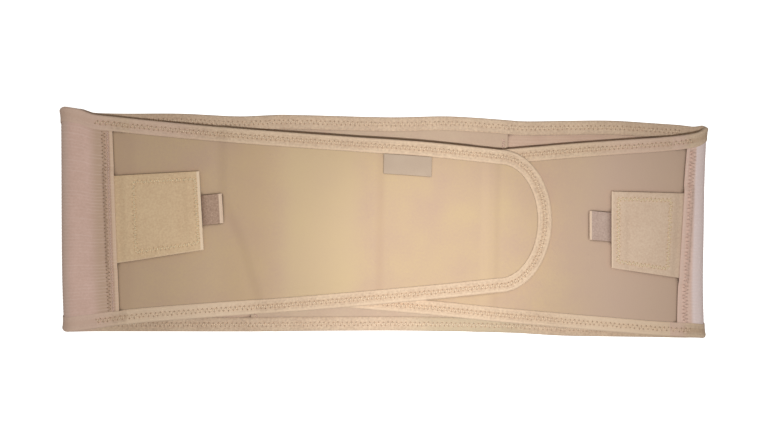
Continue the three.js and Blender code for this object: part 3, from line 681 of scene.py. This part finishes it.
def side_band(side):
    fold_end = FOLD_LENGTH - TAPE_RAMP / 2
    front = front_t(HEM[side]) - fold_end

    def point(u, share, face):
        y = mix(-HALF_HEIGHT, HALF_HEIGHT, share)
        for _ in range(2):
            hem = front_t(hem_x(side, y))
            t = np.where(u <= fold_end, u, mix(fold_end, hem, (u - fold_end) / front))
            low, high = half_edge(side, t, "bottom") + EDGE_INSET, half_edge(side, t, "top") - EDGE_INSET
            y = mix(low, high, share)
        rib = RIB_DEPTH * (0.5 - 0.5 * np.cos(2 * np.pi * RIB_COUNT * share))
        rib = rib * ease(HEM_ROLL + 1, HEM_ROLL + 4, hem - t)
        groove = HEM_GROOVE * np.exp(-(((hem - t - HEM_ROLL) / HEM_RIM) ** 2))
        middle = (BAND_IN + BAND_OUT) / 2 + hem_lift(side, y, t, hem)
        half = (ELASTIC / 2 - rib) * rim_share(hem - t, HEM_RIM) - np.where(face, groove, 0)
        return lean(on_half(side, t, y, middle + np.where(face, half, -half)))

    along = np.concatenate([
        stations(back_t(BACK_SEAM[side]), -4, step=3.2),
        stations(-2, fold_end, step=0.9),
        stations(fold_end, fold_end + front, step=0.8, rim=1.0)[len(RIM_STEPS):],
    ])
    band = add_cloth(
        f"{side}_side_band_cloth", band_elastics[side], along, stations(0, 1, step=0.25 / RIB_COUNT), point,
        size=(1, RIB_PITCH * RIB_COUNT), lining=band_lining,
    )
    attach(band, "root")
    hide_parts(f"{side}_side_band")


for side in SIGN:
    side_band(side)

# Edge tapes. Each is a folded elastic tape that wraps a cut edge and is zigzag stitched through all
# layers: two run along the back from hem to hem round both folds, and one goes round each flap.
HEM_REACH = 8
FOLD_ROUND = 1.0
FLUSH_FROM = {"left": -70, "right": -30}
FLUSH_SHARE = {"left": 1.0, "right": 0.7}
FLUSH_PRESS = 0.85
FLUSH_START = 1.5
FLUSH_RUN = 5
PINK_TAPE = colour(236, 203, 188)
TAPE_DYE = {"Patch": 70.0, "Grain": 600.0, "Mottle": 0.7}
# Painted highlights along both puffed edges of a tape, and painted shade in its stitched middle
TAPE_PUFF_LIGHT_AND_SHADE = [
    ("Across", 0, 2.0, 0.8, colour(242, 215, 186), 0.5),
    ("Across", 8.2, 11, 0.8, colour(242, 215, 186), 0.5),
    ("Across", 3.2, 7.2, 1.0, colour(208, 177, 146), 0.5),
]
flap_tape = fabric(
    "flap binding tape", colour(238, 212, 182), colour(206, 178, 152), roughness=0.8, crease_shade=0.85,
    crease_shade_width=0.55, dye=TAPE_DYE, depth=0.0005,
    strips=[
        *TAPE_PUFF_LIGHT_AND_SHADE,
        ("Along", -30, 70, 45, PINK_TAPE, 0.45),
        ("Along", 560, 720, 50, colour(248, 222, 194), 0.6),
    ],
)
back_tape = {}
# The bottom back tape is darker from the middle out to 125 mm on the right
BACK_TAPE_DARKER_RUN = {"top": [], "bottom": [("Along", 0, 125, 45, colour(206, 188, 158), 0.75)]}
for edge, darker_run in BACK_TAPE_DARKER_RUN.items():
    back_tape[edge] = fabric(
        f"back {edge} binding tape", colour(238, 213, 185), colour(208, 181, 156), roughness=0.8,
        crease_shade=0.85, crease_shade_width=0.55, dye=TAPE_DYE, depth=0.0005,
        strips=[
            *TAPE_PUFF_LIGHT_AND_SHADE,
            ("Along", -FOLD_X - FOLD_LENGTH - 36, -FOLD_X + 20, 26, PINK_TAPE, 0.65),
            ("Along", FOLD_X + FOLD_LENGTH + 2, FOLD_X + 90, 8, PINK_TAPE, 0.6),
            *darker_run,
        ],
    )
# Outer face of a tape from its edge to its fold: how far in from the fold each place lies, and how
# far out from the cloth, as a share of the tape's thickness
TAPE_TOP = [
    (10.4, 0.05), (10.1, 0.4), (9.5, 0.85), (8.6, 1.08), (7.2, 0.92), (6.2, 0.8), (5.2, 0.98), (4.2, 0.8),
    (3.2, 0.92), (2.2, 1.16), (1.3, 1.1),
]


def tape_section(high, low, flush=0):
    """Closed outline of a tape's section, as pairs of margins and offsets, round layers from low to
    high. Where flush is 1, the tape is pressed into the band away from its fold."""
    outer = []
    middle, half = (high + low) / 2, (high - low) / 2 + TAPE
    for margin, share in TAPE_TOP:
        pressed = 1 - FLUSH_PRESS * flush * min(1, max(0, (margin - FLUSH_START) / FLUSH_RUN))
        outer.append((margin + 0 * high, high + share * TAPE * pressed))
    for degrees in (60, 30, 0, -30, -60):
        angle = math.radians(degrees)
        outer.append((FOLD_ROUND * (1 - math.cos(angle)) + 0 * high, middle + half * math.sin(angle)))
    for margin, share in reversed(TAPE_TOP):
        outer.append((margin + 0 * high, low - share * TAPE))
    end, turn = TAPE_WIDTH - 0.1, TAPE + CLEARANCE
    inner = [(end, low), (turn, low), (TAPE, middle), (turn, high), (end, high)]
    return outer + [(margin + 0 * high, offset) for margin, offset in inner]


def directions(points):
    """Direction of a line at each of its points."""
    ahead = np.gradient(points, axis=0)
    return ahead / np.linalg.norm(ahead, axis=1)[:, None]


def run_along(points):
    """Length of a line from its first point to each of its points."""
    return np.concatenate([[0], np.cumsum(np.linalg.norm(np.diff(points, axis=0), axis=1))])


def add_tape(name, material, along, sections, place):
    """Adds a tape. place(margin, offset) gives the points of one line of its section."""
    rows = [place(margin, offset) for margin, offset in sections]
    points = np.stack(rows, axis=1)
    n, k = points.shape[:2]
    u, v = np.meshgrid(along, run_along(points[n // 2]), indexing="ij")
    faces = [grid_faces(n, k, wrap=True)]
    for start in (0, (n - 1) * k):
        half = k // 2
        ring = [start + i for i in range(k)]
        strip = np.array([(ring[i], ring[i + 1], ring[-2 - i], ring[-1 - i]) for i in range(half - 1)])
        faces.append(strip[:, ::-1] if start == 0 else strip)
    return add_mesh(
        name, points.reshape(-1, 3), np.concatenate(faces), material,
        np.stack([u, v], axis=-1).reshape(-1, 2),
    )


def wrapped(side, t):
    """Highest and lowest layer that the tape wraps at t: band, back panel and flap come and go."""
    seam = back_t(BACK_SEAM[side])
    hem = front_t(HEM[side])
    flap_start = front_t(HEM[side] + FRONT_LAP)
    band = ease(seam - TAPE_RAMP, seam - 1, t) * ease(hem + TAPE_RAMP, hem + 3, t)
    on_back = ease(seam + BACK_LAP + TAPE_RAMP, seam + BACK_LAP + 1, t)
    on_flap = ease(flap_start - TAPE_RAMP, flap_start - 1, t)
    high = mix(PRESSED / 2, BAND_OUT, band) + CLEARANCE
    low = mix(BAND_IN, -PRESSED / 2, np.maximum(on_back, on_flap)) - CLEARANCE
    return high, low


def back_run():
    """Stations of a back tape: the belt half and t of each, and the length run to it."""
    sides, places = [], []
    for side in SIGN:
        end = front_t(HEM[side]) + HEM_REACH
        t = np.concatenate([
            stations(-FOLD_X, -4, step=3),
            stations(-2, FOLD_LENGTH, step=0.9),
            stations(FOLD_LENGTH + 1.5, end, step=1.8),
        ])
        t = t[::-1] if side == "left" else t[1:]
        sides += [side] * len(t)
        places.append(t)
    t = np.concatenate(places)
    signed = np.where(np.array(sides) == "left", -(FOLD_X + t), FOLD_X + t)
    return np.array(sides), t, signed


def on_back_tape(edge, sides, t, margin, offset):
    inward = -1 if edge == "top" else 1
    points = []
    for side in SIGN:
        y = half_edge(side, t, edge) + inward * margin
        points.append(lean(on_half(side, t, y, offset)))
    return np.where((sides == "left")[..., None], *points)


def back_tape_layers(sides, t):
    left, right = wrapped("left", t), wrapped("right", t)
    return [np.where(sides == "left", *pair) for pair in zip(left, right)]


run_sides, run_t, run_length = back_run()
run_flush = np.zeros(len(run_t))
for side, share in FLUSH_SHARE.items():
    hem = front_t(HEM[side])
    flush = ease(FLUSH_FROM[side], 0, run_t) * ease(hem + 5, hem - 4, run_t)
    run_flush = np.where(run_sides == side, share * flush, run_flush)
for edge in ("top", "bottom"):
    layers = back_tape_layers(run_sides, run_t)
    tape = add_tape(
        f"back_{edge}_tape",
        back_tape[edge],
        run_length,
        tape_section(*layers, run_flush),
        lambda margin, offset: on_back_tape(edge, run_sides, run_t, margin, offset),
    )
    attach(tape, "root")
    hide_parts(f"back_{edge}_binding")


def flap_run(side):
    """Outline of a flap with the direction inward from it, and the length run along it."""
    sign = SIGN[side]
    middle, half = flap_end(side)
    straight = stations(sign * (HEM[side] - HEM_REACH), FLAP_END[side], step=2.0)
    turns = np.radians(stations(88, -88, step=4))
    top = spatial(straight, flap_edge(side, straight, "top"), 0)
    bottom = spatial(straight, flap_edge(side, straight, "bottom"), 0)
    end_x = FLAP_END[side] - sign * FLAP_END_DEPTH * np.cos(turns)
    end = spatial(end_x, middle + half * np.sin(turns), 0)
    points = np.concatenate([top, end, bottom[::-1]])[:, :2]
    ahead = directions(points)
    inward = np.stack([-sign * ahead[:, 1], sign * ahead[:, 0]], axis=-1)
    inward[0] = (0, -1)
    inward[-1] = (0, 1)
    return points, inward, run_along(points)


def on_flap_tape(side, points, inward, margin, offset):
    at = points + inward * np.asarray(margin)[..., None]
    x, y = at[..., 0], at[..., 1]
    return lean(spatial(x, y, flap_rest(side, x, y) + offset))


for side in SIGN:
    outline, inward, length = flap_run(side)
    reach = np.full(len(length), PRESSED / 2 + CLEARANCE)
    tape = add_tape(
        f"{side}_flap_tape",
        flap_tape,
        length,
        tape_section(reach, -reach),
        lambda margin, offset: on_flap_tape(side, outline, inward, margin, offset),
    )
    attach(tape, "root")
    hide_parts(f"{side}_flap_binding")

# Pull tabs. Each is a square of brushed laminate caught under the hem of its band. A hook patch is
# sewn under it with a square of zigzag stitches.
TAB_RIM_RADIUS = 0.9
TAB_HOOK_MARGIN = 4
TAB_HOOK_START = 9
HOOK_CLOTH = 0.9
WEBBING = 0.85
LOOP_ROOT = 9
BOX_GROOVE = 0.25
BOX_GROOVE_RUN = 1.5
BOX_REACH = 2
FAR_OFF = 100
BOX_EDGES = {"left": (13.0, 56.5, 5.5), "right": (9.5, 47.5, 5.5)}
# Width and colour of the painted highlight on each tab's free end
TAB_RIM = {"left": (2.4, colour(255, 230, 200)), "right": (1.4, colour(246, 220, 194))}
TAB_TINTS = {
    "left": (colour(244, 216, 177), colour(226, 194, 157)),
    "right": (colour(240, 215, 190), colour(224, 195, 170)),
}
hook_plastic = fabric("hook tape", colour(210, 192, 168), colour(196, 178, 154), roughness=0.7, sheen=0)


def on_tab(side, along, across, offset):
    """Point of a pull tab: along from the band's hem, and across from its middle line."""
    tab = TAB[side]
    slant = mix(HEM_SLANT, tab["slant"], np.clip(along / tab["length"], 0, 1))
    y = tab["middle"] + tab["slope"] * along + across
    x = SIGN[side] * (HEM[side] + slant * y - along)
    return lean(spatial(x, y, flap_rest(side, x, y) + offset))


def tab_half_width(side, along):
    tab = TAB[side]
    return mix(tab["wide"], tab["narrow"], np.clip(along / tab["length"], 0, 1)) / 2


def tab_level(side, along):
    """Level of a pull tab's inner face: under the hem, over its hook patch, over the loop's root."""
    over_hook = LAMINATE / 2 + 2 * CLEARANCE + HOOK_CLOTH
    over_loop = LAMINATE / 2 + 2 * CLEARANCE + 2 * WEBBING
    clear_of_hem = mix(BAND_IN, over_hook, ease(1.5, TAB_HOOK_START - 1, along))
    root = TAB[side]["length"] - LOOP_ROOT
    return mix(clear_of_hem, over_loop, ease(root - 4, root - 0.5, along))


def box_groove(side, along, across):
    """How near a point of a tab is to its square of stitches, from 0 to 1."""
    near, far, margin = BOX_EDGES[side]
    reach = tab_half_width(side, along) - margin
    past_ends = (along < near - BOX_REACH) | (along > far + BOX_REACH)
    past_sides = np.abs(across) > reach + BOX_REACH
    to_sides = np.abs(np.abs(across) - reach) + FAR_OFF * past_ends
    to_ends = np.minimum(np.abs(along - near), np.abs(along - far)) + FAR_OFF * past_sides
    return np.exp(-((np.minimum(to_sides, to_ends) / BOX_GROOVE_RUN) ** 2))


def pull_tab(side):
    length = TAB[side]["length"]
    rim, rim_highlight = TAB_RIM[side]
    tab_knit = fabric(
        f"{side} brushed tab", *TAB_TINTS[side], sheen=0.12, crease_shade=0.85, crease_shade_width=0.5,
        dye={"Patch": 45.0, "Grain": 800.0, "Mottle": 0.75}, nap={"Loops": 650.0, "Fibres": 1800.0},
        depth=0.0006, strips=[
            # Painted highlight on the free end, and at half share along the lower side edge
            ("Along", length - rim, length + 3, 0.6, rim_highlight, 1.0),
            ("Across", -40, 1.2 - TAB[side]["narrow"] / 2, 1.0, rim_highlight, 0.5),
        ],
    )

    def point(along, across, face):
        half_width = tab_half_width(side, along)
        edge = np.minimum(length - along, (1 - np.abs(across)) * half_width)
        thickness = TAB_CLOTH * rim_share(edge, TAB_RIM_RADIUS)
        groove = BOX_GROOVE * box_groove(side, along, across * half_width)
        return on_tab(
            side, along, across * half_width,
            tab_level(side, along) + TAB_CLOTH / 2 + np.where(face, thickness / 2 - groove, -thickness / 2),
        )

    tab = add_cloth(
        f"{side}_tab_cloth", tab_knit, stations(-TAB_TUCK, length, step=1.2, rim=1.0),
        stations(-1, 1, step=0.05, rim=0.034), point, size=(1, TAB[side]["narrow"] / 2),
    )
    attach(tab, "root")
    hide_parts(f"{side}_pull_tab")

    def hook_point(along, across, face):
        level = LAMINATE / 2 + CLEARANCE + face * HOOK_CLOTH
        return on_tab(side, along, across * (tab_half_width(side, along) - TAB_HOOK_MARGIN), level)

    hook = add_cloth(
        f"{side}_tab_hook_tape", hook_plastic, stations(TAB_HOOK_START, length - LOOP_ROOT - 5, step=4),
        stations(-1, 1, step=0.1), hook_point,
    )
    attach(hook, "root")
    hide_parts(f"{side}_tab_hook")
    return tab


tabs = {side: pull_tab(side) for side in SIGN}

# Pull loops. Each is a strip of narrow webbing folded on itself, with both ends sewn under the free
# end of its tab.
LOOP = {"left": {"length": 15, "middle": 0}, "right": {"length": 15.8, "middle": 1.9}}
LOOP_WIDTH = 21
LOOP_EYE = 1.9
LOOP_TURN = 0.35
LOOP_GAP = 0.2
LOOP_STEP = 0.8
webbing = {}
for side, light, dark in (
    ("left", colour(208, 178, 155), colour(166, 135, 117)),
    ("right", colour(214, 190, 176), colour(188, 161, 148)),
):
    webbing[side] = fabric(
        f"{side} loop webbing", light, dark, roughness=0.75, sheen=0.1,
        dye={"Patch": 150.0, "Grain": 900.0, "Mottle": 0.8}, depth=0.0005,
        # Painted highlight on the webbing's folded end
        strips=[("Along", 22, 32.4, 0.5, colour(250, 222, 196), 0.9)],
    )


def pull_loop(side):
    length, middle = LOOP[side]["length"], LOOP[side]["middle"]
    low = LAMINATE / 2 + CLEARANCE + WEBBING / 2
    root = -LOOP_ROOT + 0.5
    lower = stations(root, length - WEBBING, LOOP_STEP)
    bend_angles = np.radians(stations(-80, 80, step=20))
    bend_half = (WEBBING + LOOP_GAP) / 2
    upper = stations(length - WEBBING, root, LOOP_STEP)
    swell = LOOP_EYE * np.sin(np.pi * np.sqrt(ease(1, length - 1, upper)))
    path_along = np.concatenate([lower, length - WEBBING + LOOP_TURN * np.cos(bend_angles), upper])
    path_level = np.concatenate([
        0 * lower, bend_half + bend_half * np.sin(bend_angles), WEBBING + np.maximum(swell, 0)
    ]) + low
    ahead = directions(np.stack([path_along, path_level], axis=-1))
    index = np.arange(len(path_along), dtype=float)

    def point(k, across, face):
        k = k.astype(int)
        half = WEBBING / 2 * rim_share((1 - np.abs(across)) * LOOP_WIDTH / 2, 0.5)
        half = np.where(face, half, -half)
        along = path_along[k] + ahead[k, 1] * half
        level = path_level[k] - ahead[k, 0] * half
        return on_tab(side, TAB[side]["length"] + along, middle + across * LOOP_WIDTH / 2, level)

    loop = add_cloth(
        f"{side}_loop_webbing", webbing[side], index, stations(-1, 1, step=0.05, rim=0.05), point,
        size=(LOOP_STEP, LOOP_WIDTH / 2),
    )
    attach(loop, "root")
    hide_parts(f"{side}_pull_loop")


for side in SIGN:
    pull_loop(side)

# Closure patch. A patch of hook tape is sewn under the upper flap's round end, where it grips the
# lower flap.
HOOK_PATCH_MARGIN = 3
HOOK_PATCH_START = 70


def closure_patch_point(x, share, face):
    margin = TAPE_WIDTH + HOOK_PATCH_MARGIN
    y = mix(flap_edge("left", x, "bottom", margin), flap_edge("left", x, "top", margin), share)
    level = -LAMINATE / 2 - CLEARANCE - (1 - face) * HOOK_CLOTH
    return spatial(x, y, flap_rest("left", x, y) + level)


closure_end = FLAP_END["left"] + FLAP_END_DEPTH - TAPE_WIDTH - HOOK_PATCH_MARGIN
closure_patch = add_cloth(
    "closure_hook_tape", hook_plastic, stations(HOOK_PATCH_START, closure_end - 0.8, step=2),
    stations(0, 1, step=0.1), closure_patch_point,
)
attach(closure_patch, "root")
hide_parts("flap_hook_patch")

# Label. It is a small strip of woven cloth, bare, caught under the tape at the upper flap's top
# edge with its cut ends turned under.
LABEL = {"middle": 10.8, "length": 34.4, "height": 14}
LABEL_CLOTH = 0.6
label_weave = fabric(
    "label weave", colour(202, 182, 161), colour(190, 168, 148), roughness=0.8, sheen=0.05,
    dye={"Patch": 90.0, "Grain": 1500.0, "Mottle": 0.5},
)


def label_point(x, share, face):
    top = flap_edge("left", x, "top") - TAPE_WIDTH - CLEARANCE
    y = top - LABEL["height"] * (1 - share)
    end = LABEL["length"] / 2 - np.abs(x - LABEL["middle"])
    thickness = LABEL_CLOTH * rim_share(np.minimum(end, share * LABEL["height"]), 0.4)
    level = LAMINATE / 2 + CLEARANCE + LABEL_CLOTH / 2 + (face - 0.5) * thickness
    return spatial(x, y, flap_rest("left", x, y) + level)


label = add_cloth(
    "label_cloth", label_weave,
    LABEL["middle"] + stations(-LABEL["length"] / 2, LABEL["length"] / 2, step=0.8, rim=0.5),
    stations(0, 1, step=0.06, rim=0.04), label_point,
)
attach(label, "root")
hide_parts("label")

# Stitching. All seams are zigzag rows of spun thread, which climbs over the cloth and dips into each
# needle hole. On a thread, the flat place along is 0 far from a hole and HOLE_PLACE at one.
THREAD = 0.36
THREAD_FLATNESS = 0.8
THREAD_ON_TAPE = 0.85 * TAPE
THREAD_DIP = 0.25
STITCH_DRIFT = 0.1
DRIFT_BEAT = 7.3
STITCH_SWAY = 0.15
SWAY_BEAT = 5.1
HOLE_PLACE = 1000


def tube_parts(points, normals, radius, start):
    """Points and faces of a thread with four sides that follows points."""
    ahead = directions(points)
    side = np.cross(ahead, normals)
    side /= np.linalg.norm(side, axis=1)[:, None]
    up = np.cross(side, ahead)
    ring = [side, THREAD_FLATNESS * up, -side, -THREAD_FLATNESS * up]
    tube = np.stack([points + radius * spoke for spoke in ring], axis=1).reshape(-1, 3)
    last = len(points) * 4 - 4
    caps = np.array([(3, 2, 1, 0), (last, last + 1, last + 2, last + 3)])
    faces = np.concatenate([grid_faces(len(points), 4, wrap=True)[:, ::-1], caps[:, ::-1]])
    return tube, faces + start


def add_threads(name, material, rows):
    """Adds the seam rows of one place as a single piece. Each row is (place, along, across, height)."""
    points, faces, needle, start = [], [], [], 0
    for place, along, across, height in rows:
        at = place(along, across, height)
        normals = place(along, across, height + 1) - at
        tube, quads = tube_parts(at, normals, THREAD, start)
        points.append(tube)
        faces.append(quads)
        needle.append(np.repeat(height < 0.5 * THREAD, 4) * 1.0)
        start += len(tube)
    near_hole = np.concatenate(needle)
    flat = np.stack([near_hole, 0 * near_hole], axis=-1) * HOLE_PLACE
    piece = add_mesh(name, np.concatenate(points), np.concatenate(faces), material, flat, sharp=180)
    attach(piece, "root")
    return piece


def zigzag(start, end, pitch, width, middle=0.0):
    """Zigzag row: places along and across it, and the thread's height over the cloth."""
    count = max(1, round(abs(end - start) / pitch))
    k = np.arange(4 * count + 1)
    along = np.linspace(start, end, len(k))
    along = along + STITCH_DRIFT * pitch * np.sin(DRIFT_BEAT * k) * (k % 4 > 0)
    sway = 1 + STITCH_SWAY * np.sin(SWAY_BEAT * k)
    across = middle + width / 2 * np.array([1, 0, -1, 0])[k % 4] * sway
    return along, across, np.where(k % 2, THREAD, THREAD_DIP * THREAD)


def thread_yarn(name, light, hole):
    """Thread with painted shade where it dips into a needle hole."""
    # The needle-hole tint is painted shade
    near_hole = ("Along", 0.3 * HOLE_PLACE, 3 * HOLE_PLACE, 0.4 * HOLE_PLACE, hole, 1.0)
    return fabric(name, light, light, roughness=0.7, crease_shade=None, strips=[near_hole])


# The second colour of each thread is the painted shade at its needle holes
tape_thread = thread_yarn("tape thread", colour(252, 230, 202), colour(208, 177, 147))
tab_thread = thread_yarn("tab thread", colour(255, 238, 202), colour(240, 210, 170))
hem_thread = thread_yarn("hem thread", colour(224, 195, 168), colour(190, 159, 134))
light_hem_thread = thread_yarn("light hem thread", colour(248, 217, 201), colour(238, 206, 189))


def along_back(edge, inner, length, margin, height):
    """Points of a stitch row on a back tape: along by signed length, across by margin."""
    sides = np.where(length < 0, "left", "right")
    t = np.abs(length) - FOLD_X
    high, low = back_tape_layers(sides, t)
    raised = THREAD_ON_TAPE + height
    return on_back_tape(edge, sides, t, margin, low - raised if inner else high + raised)


def along_flap(side, along, margin, height):
    """Points of a stitch row on a flap's tape: along by its run, across by margin."""
    outline, inward, length = flap_run(side)
    at, turn = (
        np.stack([np.interp(along, length, line[:, k]) for k in (0, 1)], axis=-1)
        for line in (outline, inward)
    )
    return on_flap_tape(side, at, turn, margin, PRESSED / 2 + CLEARANCE + THREAD_ON_TAPE + height)


SEAM_MIDDLE = 5.2
SEAM_WIDTH = 3.0
SEAM_PITCH = 3.3


def tape_seam(start, end):
    return zigzag(start, end, SEAM_PITCH, SEAM_WIDTH, SEAM_MIDDLE)


for edge in ("top", "bottom"):
    rows = [(partial(along_back, edge, False), *tape_seam(start, end)) for start, end in (
        (run_length[0] + 1, -FOLD_X - FOLD_LENGTH - 13),
        (-FOLD_X + 40, FOLD_X - 20),
        (FOLD_X + FOLD_LENGTH + 2, run_length[-1] - 1),
    )]
    rows.append((partial(along_back, edge, True), *tape_seam(6 - FOLD_X, FOLD_X - 6)))
    stitches = add_threads(f"back_{edge}_tape_stitches", tape_thread, rows)
    length = run_length[-1] - run_length[0]
for side in SIGN:
    length = flap_run(side)[2][-1]
    rows = [(partial(along_flap, side), *tape_seam(1, length - 1))]
    stitches = add_threads(f"{side}_flap_tape_stitches", tape_thread, rows)

HEM_PITCH = 2.6
HEM_ROW_SLANT = 0.008


def on_hem(side, y, before, height):
    """Points on a band's hem: along by height y, across by distance back from the hem's edge."""
    hem = front_t(hem_x(side, y))
    t = hem - before + HEM_ROW_SLANT * y
    return lean(on_half(side, t, y, BAND_OUT + hem_lift(side, y, t, hem) + height))


HEM_ROWS = {
    "left": ((6.4, 2.4, hem_thread, "inner"), (3.7, 1.0, light_hem_thread, "outer")),
    "right": ((5.2, 4.0, light_hem_thread, "inner"),),
}
for side in SIGN:
    at = front_t(HEM[side]) - 4
    top = half_edge(side, at, "top") - TAPE_WIDTH
    bottom = half_edge(side, at, "bottom") + TAPE_WIDTH
    for before, width, thread, name in HEM_ROWS[side]:
        rows = [(partial(on_hem, side), *zigzag(bottom + 0.5, top - 0.5, HEM_PITCH, width, before))]
        add_threads(f"{side}_{name}_hem_stitches", thread, rows)


def on_back_seam(side, y, before, height):
    """Points on the panel's inner face, by its end: along by height y, across by distance in."""
    x = SIGN[side] * (BACK_SEAM[side] + BACK_LAP - before)
    return spatial(x, y, back_rest(x, y) + PRESSED / 2 + height)


BACK_SEAM_ROW = {"pitch": 3, "width": 2.4, "middle": 3.5}
reach = HALF_HEIGHT - TAPE_WIDTH - 2
for side in SIGN:
    rows = [(partial(on_back_seam, side), *zigzag(-reach, reach, **BACK_SEAM_ROW))]
    add_threads(f"{side}_back_seam_stitches", light_hem_thread, rows)


def on_tab_top(side, along, across, height):
    sunk = TAB_CLOTH - BOX_GROOVE * box_groove(side, along, across)
    return on_tab(side, along, across, tab_level(side, along) + sunk + height)


BOX_ROW = {"pitch": 3.0, "width": 2.8}
for side in SIGN:
    near, far, margin = BOX_EDGES[side]
    place = partial(on_tab_top, side)
    rows = []
    for sign in (-1, 1):
        along, across, height = zigzag(near, far, **BOX_ROW)
        rows.append((place, along, across + sign * (tab_half_width(side, along) - margin), height))
    for at in (near, far):
        reach = tab_half_width(side, at) - margin
        across, along, height = zigzag(-reach, reach, middle=at, **BOX_ROW)
        rows.append((place, along, across, height))
    stitches = add_threads(f"{side}_tab_stitches", tab_thread, rows)
    length = (TAB[side]["length"] + TAB_TUCK) * MM

# Floor, lights and camera. The belt lies on a white table under one soft lamp, whose light pools
# near the belt's middle, and is seen from straight above, a little to its left.
CAMERA_TARGET = Vector((-4.0, 5.7, 8.0)) * MM
CAMERA_DISTANCE = 0.95
CAMERA_YAW = math.radians(4.76)
CAMERA_TILT = math.radians(0.80)
CAMERA_ROLL = math.radians(-1.01)
CAMERA_LENS = 61.8
LAMP_PLACE = Vector((0.0, -0.085, 0.95))
LAMP_WATTS = 3.6
LAMP_SIZE = 0.05
POOL_MIDDLE = Vector((0.030, -0.025, 0.016))
POOL_LAMPS = ((0.112, 8.0), (0.215, 9.6))
STUDIO_LIGHT = 0.22
TABLE = 3

floor_mesh = bpy.data.meshes.new("floor")
floor_corners = [(-TABLE, -TABLE, 0), (TABLE, -TABLE, 0), (TABLE, TABLE, 0), (-TABLE, TABLE, 0)]
floor_mesh.from_pydata(floor_corners, [], [(0, 1, 2, 3)])
floor = add_object("floor", floor_mesh)
white_table = bpy.data.materials.new("white table")
white_table.use_nodes = True
table_shader = white_table.node_tree.nodes["Principled BSDF"]
table_shader.inputs["Base Color"].default_value = (0.8, 0.8, 0.8, 1)
table_shader.inputs["Roughness"].default_value = 0.9
table_shader.inputs["Emission Color"].default_value = (1, 1, 1, 1)
seen = add_node(white_table.node_tree, "LightPath")
white_table.node_tree.links.new(seen.outputs["Is Camera Ray"], table_shader.inputs["Emission Strength"])
floor_mesh.materials.append(white_table)

lamp_data = bpy.data.lights.new("lamp", "AREA")
lamp_data.shape = "DISK"
lamp_data.size = LAMP_SIZE
lamp_data.energy = LAMP_WATTS
lamp = add_object("lamp", lamp_data)
lamp.location = LAMP_PLACE
lamp.visible_camera = False
aim = POOL_MIDDLE - LAMP_PLACE
for k, (radius, watts) in enumerate(POOL_LAMPS):
    pool_data = bpy.data.lights.new(f"pool_lamp_{k + 1}", "SPOT")
    pool_data.energy = watts
    pool_data.spot_size = 2 * math.atan(radius / aim.length)
    pool_data.spot_blend = 1.0
    pool_data.shadow_soft_size = LAMP_SIZE / 2
    pool = add_object(f"pool_lamp_{k + 1}", pool_data)
    pool.location = LAMP_PLACE
    pool.rotation_euler = aim.to_track_quat("-Z", "Y").to_euler()
    pool.visible_camera = False

world = bpy.data.worlds.new("studio")
bpy.context.scene.world = world
world.use_nodes = True
studio = world.node_tree.nodes["Background"]
studio.inputs["Color"].default_value = (1, 0.93, 0.84, 1)
studio.inputs["Strength"].default_value = STUDIO_LIGHT

back = Vector((
    -math.sin(CAMERA_YAW) * math.cos(CAMERA_TILT),
    math.sin(CAMERA_TILT),
    math.cos(CAMERA_YAW) * math.cos(CAMERA_TILT),
))
right = Vector((math.sin(CAMERA_ROLL), math.cos(CAMERA_ROLL), 0)).cross(back).normalized()
up = back.cross(right)
turned = Matrix((right, up, back)).transposed().to_4x4()
camera_data = bpy.data.cameras.new("camera")
camera_data.sensor_width = 36
camera_data.lens = CAMERA_LENS
camera = add_object("camera", camera_data)
camera.matrix_world = Matrix.Translation(CAMERA_TARGET + back * CAMERA_DISTANCE) @ turned
bpy.context.scene.camera = camera
bpy.context.scene.view_settings.view_transform = "Standard"
